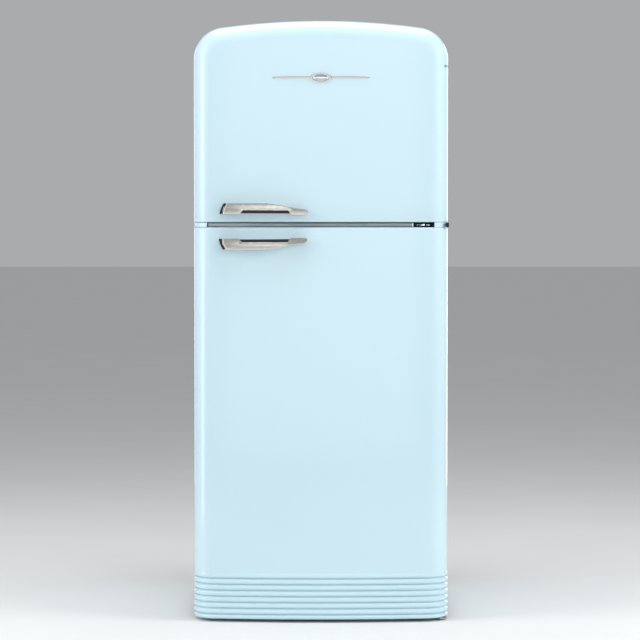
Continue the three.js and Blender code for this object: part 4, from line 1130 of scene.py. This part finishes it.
# ---------------------------------------------------------------- cooling
def make_evaporator():
    refine("evaporator_cover", 0.8, 2)
    bm = bmesh.new()
    for radius in (16, 28, 40, 52):
        ring = [(radius * math.cos(a * math.pi / 24), 191, FAN_Z + radius * math.sin(a * math.pi / 24))
            for a in range(49)]
        tube(bm, ring, 1.2, 8, False)
    for k in range(6):
        angle = k * math.pi / 6
        dx, dz = 56 * math.cos(angle), 56 * math.sin(angle)
        tube(bm, [(-dx, 190, FAN_Z - dz), (dx, 190, FAN_Z + dz)], 1.2, 8)
    quick_piece("fan_guard", "evaporator_cover", bm, 60, "white_liner")

    bm = bmesh.new()
    turn(bm, [(3.4, 203.4), (17, 203), (20, 205), (20, 220), (18.5, 222), (3.4, 222), (3.4, 203.4)],
        (0, 0, FAN_Z), "y", 48)
    blades = 5
    for k in range(blades):
        rows = []
        for i in range(9):
            radius = 18.5 + (52 - 18.5) * i / 8
            pitch = math.radians(58 - 30 * i / 8)
            chord = 13 + 5 * math.sin(math.pi * i / 8)
            row = []
            for j in range(9):
                t = (j / 8 * 2 - 1) * chord
                camber = 1.6 * (1 - (j / 4 - 1) ** 2)
                turned = 2 * math.pi * k / blades + t * math.cos(math.pi / 2 - pitch) / radius
                y = 212.5 + max(-8.5, min(8.5, t * math.cos(pitch))) + camber * 0.5
                reach = radius - (1.8 if i == 8 and j in (0, 8) else 0)
                row.append((reach * math.cos(turned), y, FAN_Z + reach * math.sin(turned)))
            rows.append(row)
        add_grid(bm, rows)
    fan = smooth_object("evaporator_fan_blades", bm, 50)
    solidify(fan, 1.4, 0)
    stand_for(fan, "evaporator_fan")

    bm = bmesh.new()
    for i in range(54):
        x = -248 + i * 496 / 53
        loft(bm, (212, 272, 1340, 1600), 5, [(0, x - 0.25), (0, x + 0.25)], sideways)
    quick_piece("evaporator_fins", "evaporator", bm)
    bm = bmesh.new()
    path = []
    for i, z in enumerate((1370, 1420, 1470, 1520, 1570)):
        side = -1 if i % 2 else 1
        path += [(-side * 262, 242, z), (side * 262, 242, z)]
    tube(bm, soften_corners(path, 24, 8), 4.6, 14)
    quick_piece("evaporator_tube", "evaporator", bm, 60, "fin_aluminium")


def make_air_duct():
    bm = bmesh.new()
    walls = [(0, 299.7), (0, 289), (0.8, 286.4), (2.6, 284.6), (6, 284)]
    loft(bm, (-75, 75, 520, 1185), 12, walls + [(14, 284), (16, 285.4), (19, 285.8)], upright)
    quick_piece("air_duct_cover", "air_duct", bm)
    bm = bmesh.new()
    for z in (580, 700, 760, 870, 930, 1060, 1120):
        for k in range(5):
            x = -40 + k * 20
            lip = [(1.4, 286), (1.2, 284.4), (0.2, 283.6), (-0.8, 284.2), (-1.2, 286)]
            loft(bm, (x - 8, x + 8, z, z + 8), 2.5, lip, upright, False, False)
    quick_piece("air_duct_outlets", "air_duct", bm, 50, "grey_plastic")


def make_back():
    bm = bmesh.new()
    outline = [(x - nx, z - nz) for x, z, nx, nz in top_edge()]
    outline = [(-HALF + 1, 294)] + outline + [(HALF - 1, 294)]
    add_prism(bm, outline, upright, 370.3, 371.5)
    panel = quick_piece("back_sheet", "back_panel", bm)
    bevel(panel, 0.4, 2)
    bm = bmesh.new()
    pressed = [(0, 371.4), (1.6, 372), (3.2, 373.2), (5.4, 373.8), (7, 373.9)]
    for side in (-1, 1):
        x0, x1 = sorted((side * 372, side * 352))
        loft(bm, (x0, x1, 340, 1700), 9.6, pressed, upright, False)
    for z in (1668, 330):
        loft(bm, (-300, 300, z, z + 20), 9.6, pressed, upright, False)
    quick_piece("back_pressings", "back_panel", bm, 50, "galvanised")
    rim = [(side * 388, 371.4, z) for side in (-1, 1) for z in (310, 620, 930, 1240, 1550, 1745)]
    rim += [(x, 371.4, 1842) for x in (-200, 0, 200)]
    screws("back_screws", "cabinet", rim, "y", 1)

    cover = bmesh.new()
    outline = [(-394, 36.3), (394, 36.3), (394, 292), (-394, 292)]
    add_prism(cover, outline, upright, 370.4, 371.6)
    sheet = smooth_object("machine_cover_sheet", cover)
    cutters = bmesh.new()
    slots = [90 + i * 24 for i in range(7)]
    for z in slots:
        loft(cutters, (-200, 200, z, z + 8), 3.9, [(0, 365), (0, 376)], upright)
    turn(cutters, [(0, 365), (9, 365), (9, 376), (0, 376)], GLAND, "y")
    boolean(sheet, cutters, "DIFFERENCE")
    sheet.data.shade_smooth()
    sheet.data.set_sharp_from_angle(angle=math.radians(35))
    stand_for(sheet, "machine_cover")
    bm = bmesh.new()
    rise = [(-204, 0), (-202.5, 0.6), (-198, 0.95), (-190, 1)]
    rise += [(-x, share) for x, share in reversed(rise)]
    for z in slots:
        hood = [(371.3, z + 11), (373.6, z + 9.6), (376, z + 6.4), (377.6, z + 2.4), (378, z - 1.2)]
        add_grid(bm, [[(x, 371.3 + (y - 371.3) * share, h) for y, h in hood] for x, share in rise])
    hoods = smooth_object("machine_cover_louvres", bm, 60)
    solidify(hoods, 0.8, 0)
    install(hoods, "cabinet", "galvanised")
    corners = [(side * x, 371.6, z) for side in (-1, 1) for x in (380, 250) for z in (50, 278)]
    screws("machine_cover_screws", "cabinet", corners, "y", 1)

    bm = bmesh.new()
    gland = [(0, 364), (8.4, 364), (8.4, 373), (12.4, 373), (13, 373.6), (13, 376.4), (12, 377.4), (9, 378)]
    gland += [(8.4, 379.6), (8.8, 380.2), (7.8, 381), (7.2, 382), (4, 382), (4, 375), (0, 375)]
    turn(bm, gland, GLAND, "y")
    quick_piece("cord_gland_grommet", "cord_gland", bm)


def make_condenser():
    """The black coil on the back: one bent tube, with wires welded across it and two hanging straps."""
    runs, low, high, half = 14, 400, 1600, 270
    pitch = (high - low) / (runs - 1)
    path = []
    for i in range(runs):
        side = -1 if i % 2 else 1
        path += [(-side * half, 377.5, low + i * pitch), (side * half, 377.5, low + i * pitch)]
        if i + 1 < runs:
            for k in range(1, 12):
                angle = math.pi * k / 12
                x = side * (half + pitch / 2 * math.sin(angle))
                path.append((x, 377.5, low + i * pitch + pitch / 2 * (1 - math.cos(angle))))
    bm = bmesh.new()
    tube(bm, path, 2.6, 12)
    quick_piece("condenser_tube", "condenser", bm, 60)
    bm = bmesh.new()
    for i in range(40):
        x = -254 + i * 508 / 39
        if min(abs(x - 215), abs(x + 215)) < 11:
            continue
        for y in (374.0, 381.0):
            tube(bm, [(x, y, low - 14), (x, y, high + 14)], 0.9, 6)
    for x in (-215, 215):
        section = [(0, 371.8), (0, 373.4), (0.6, 374)]
        loft(bm, (x - 8, x + 8, 392, 1620), 2, section, upright)
        for i in range(runs):
            z = low + i * pitch
            loft(bm, (x - 6, x + 6, z - 4.6, z + 4.6), 2, [(0, 373.5), (0, 381.2), (1.4, 382)], upright)
    quick_piece("condenser_wires", "condenser", bm, slot="black_enamel")


def make_compressor():
    x, y, floor, r = 150, 262, 33.6, 78
    bm = bmesh.new()
    dome = [(0, 12), (r - 20, 12), (r - 10, 14), (r - 4, 19), (r - 1, 28), (r, 42), (r, 70), (r + 1, 73),
        (r + 4.6, 74)]
    dome += [(r + 5, 75), (r + 5, 79), (r + 4.6, 80), (r + 1, 81), (r, 84), (r - 0.6, 112), (r - 3, 126),
        (r - 9, 140)]
    dome += [(r - 18, 150), (r - 32, 158), (r - 50, 164), (0, 168)]
    turn(bm, [(a, floor + h) for a, h in dome], (x, y, 0), "z", 64)
    quick_piece("compressor_can", "compressor", bm)
    bm = bmesh.new()
    block(bm, x - 95, x + 95, y - 62, y + 62, floor + 8, floor + 12, 6)
    block(bm, x + 40, x + 92, y - 40, y + 40, floor + 62, floor + 116, 6)
    suction = [(x - r + 20, y, floor + 110), (x - r - 22, y, floor + 110), (x - r - 22, y + 40, floor + 150)]
    tube(bm, soften_corners(suction, 16), 5)
    discharge = [(x - 30, y - r + 8, floor + 60), (x - 30, y - r - 8, floor + 60),
        (x - r - 50, y - r - 8, floor + 60)]
    discharge += [(x - r - 50, y + 92, floor + 60), (x - r - 50, y + 92, floor + 200)]
    tube(bm, soften_corners(discharge, 16), 3)
    quick_piece("compressor_fittings", "compressor", bm, slot="black_enamel")
    bm = bmesh.new()
    for sx in (-80, 80):
        for sy in (-48, 48):
            ring = [(0, floor), (11, floor), (11, floor + 3), (8.6, floor + 4), (8.6, floor + 6),
                (11, floor + 7), (11, floor + 9)]
            turn(bm, ring + [(6, floor + 15), (0, floor + 15)], (x + sx, y + sy, 0), "z", 24)
    quick_piece("compressor_grommets", "compressor", bm, slot="black_rubber")


# ---------------------------------------------------------------- base, feet and rollers
def make_base():
    refine("base_tray", 0.8, 2)
    for word, side in (("left", -1), ("right", 1)):
        bm = bmesh.new()
        pad = [(0, 0), (16, 0), (19, 0.6), (20.6, 2), (21, 4), (21, 8), (20, 10.4), (16, 12.4), (11, 13),
            (9, 13)]
        turn(bm, pad + [(9, 12), (0, 12)], (side * FOOT_X, FOOT_Y, 0), "z", 64)
        node = "front_foot_" + word
        quick_piece(node + "_pad", node, bm)
        bm = bmesh.new()
        stem = [(0, 12), (9.5, 12), (9.5, 19), (8.5, 20), (6, 20)]
        thread = []
        for k in range(26):
            low = 20.4 + k * 1.5
            thread += [(6, low), (5.3, low + 0.75)]
        turn(bm, stem + thread + [(5.3, 60), (0, 60)], (side * FOOT_X, FOOT_Y, 0), "z", 24)
        quick_piece(node + "_screw", node, bm, slot="zinc_steel")
        node = "rear_roller_" + word
        x = side * ROLLER_X
        bm = bmesh.new()
        wheel = [(4.4, -11), (7.5, -11), (8, -10.4), (8, -8), (14, -7.4), (15, -8), (15.4, -10.2), (17, -11),
            (18.4, -10.4)]
        wheel += [(19, -8.6), (19, 8.6), (18.4, 10.4), (17, 11), (15.4, 10.2), (15, 8), (14, 7.4), (8, 8),
            (8, 10.4)]
        wheel += [(7.5, 11), (4.4, 11), (4.4, -11)]
        turn(bm, [(r, x + h) for r, h in wheel], (0, ROLLER_Y, ROLLER_Z), "x", 56)
        quick_piece(node + "_wheel", node, bm)


# ---------------------------------------------------------------- camera, light and floor
def make_camera():
    data = bpy.data.cameras.new("camera")
    data.lens = 128.3
    data.sensor_width = 36
    data.shift_y = -0.0305
    camera = bpy.data.objects.new("camera", data)
    camera.location = (-0.0028, -7.4145, 1.24)
    camera.rotation_euler = (math.radians(90 - 1.9), 0, 0)
    bpy.context.scene.collection.objects.link(camera)
    bpy.context.scene.camera = camera


def add_light(name, place, aim, size, power, diffuse=True, glossy=True):
    data = bpy.data.lights.new(name, "AREA")
    data.shape = "RECTANGLE"
    data.size, data.size_y = size
    data.energy = power
    light = bpy.data.objects.new(name, data)
    light.location = place
    light.rotation_euler = (Vector(aim) - Vector(place)).to_track_quat("-Z", "Y").to_euler()
    light.visible_camera = False
    light.visible_diffuse = diffuse
    light.visible_glossy = glossy
    bpy.context.scene.collection.objects.link(light)


def make_stage():
    bm = bmesh.new()
    bmesh.ops.create_grid(bm, x_segments=8, y_segments=8, size=60000)
    floor = smooth_object("studio_floor", bm)
    floor.location.z = -0.0005
    floor.data.materials.append(LOOK["studio_floor"])
    world = bpy.data.worlds.new("studio")
    world.use_nodes = True
    world.node_tree.nodes["Background"].inputs["Color"].default_value = (0.95, 0.97, 1.0, 1)
    world.node_tree.nodes["Background"].inputs["Strength"].default_value = 0.42
    bpy.context.scene.world = world
    bpy.context.scene.view_settings.view_transform = "Standard"
    add_light("front_fill", (0.8, -5.5, 3.0), (0.0, 0.0, 1.0), (3.5, 3.0), 46, glossy=False)
    add_light("overhead", (0.0, -0.6, 4.0), (0.0, -0.2, 0.0), (3.0, 2.6), 52, glossy=False)
    add_light("left_soft", (-3.4, -1.4, 2.3), (-0.4, 0.0, 0.9), (2.0, 2.2), 68, glossy=False)
    add_light("right_soft", (3.6, -1.3, 2.3), (0.4, 0.0, 0.9), (2.0, 2.2), 80, glossy=False)
    add_light("front_glow", (0.0, -9.5, 1.5), (0.0, 0.0, 1.5), (5.0, 4.0), 45, diffuse=False)
    add_light("left_strip", (-3.08, -1.0, 1.2), (-0.36, -0.33, 1.2), (1.0, 4.4), 25, diffuse=False)
    add_light("right_rim", (2.2, 3.2, 1.2), (0.4, -0.3, 1.0), (0.9, 3.2), 25, diffuse=False)
    add_light("left_rim", (-2.2, 3.2, 1.2), (-0.4, -0.3, 1.0), (0.6, 3.2), 8, diffuse=False)
    add_light("top_sheen", (0.0, 0.64, 4.86), (0.0, -0.3, 1.8), (4.4, 3.0), 74, diffuse=False)


make_camera()
make_stage()
make_freezer_door_skin()
make_fridge_door_skin()
make_fridge_door_base()
make_cabinet()
make_handle("freezer_door_handle", -313.5, 1273, 1)
make_handle("fridge_door_handle", -316, 1197.5, -1)
make_badge()
make_mullion()
make_hinges()
make_gasket("freezer_door_gasket", GAP_HIGH + 6, 1817, 54)
make_gasket("fridge_door_gasket", 98, GAP_LOW - 6, 30)
make_door_inside("freezer_door", arched_outline(1.8, GAP_HIGH + 1.8), (326, 1292, 1782), (1320, 1564))
fridge_plate = round_rect(-392, 392, SKIRT_LOW + 3.3, GAP_LOW - 1.8, 2)
make_door_inside("fridge_door", fridge_plate, (330, 128, 1190), (508, 754, 964))
make_door_bins()
make_dairy_lid()
make_liners()
make_shelves()
make_drawer("crisper_drawer", 304, -134, 112, 152, 334, 300)
make_drawer("fresh_drawer", 300, -134, 276, 354, 488, 470)
make_ice_maker()
make_light()
make_evaporator()
make_air_duct()
make_back()
make_condenser()
make_compressor()
make_base()

for name, node in frame["nodes"].items():
    node.data.materials.clear()
    node.data.materials.append(LOOK[slot_of_node(name)])
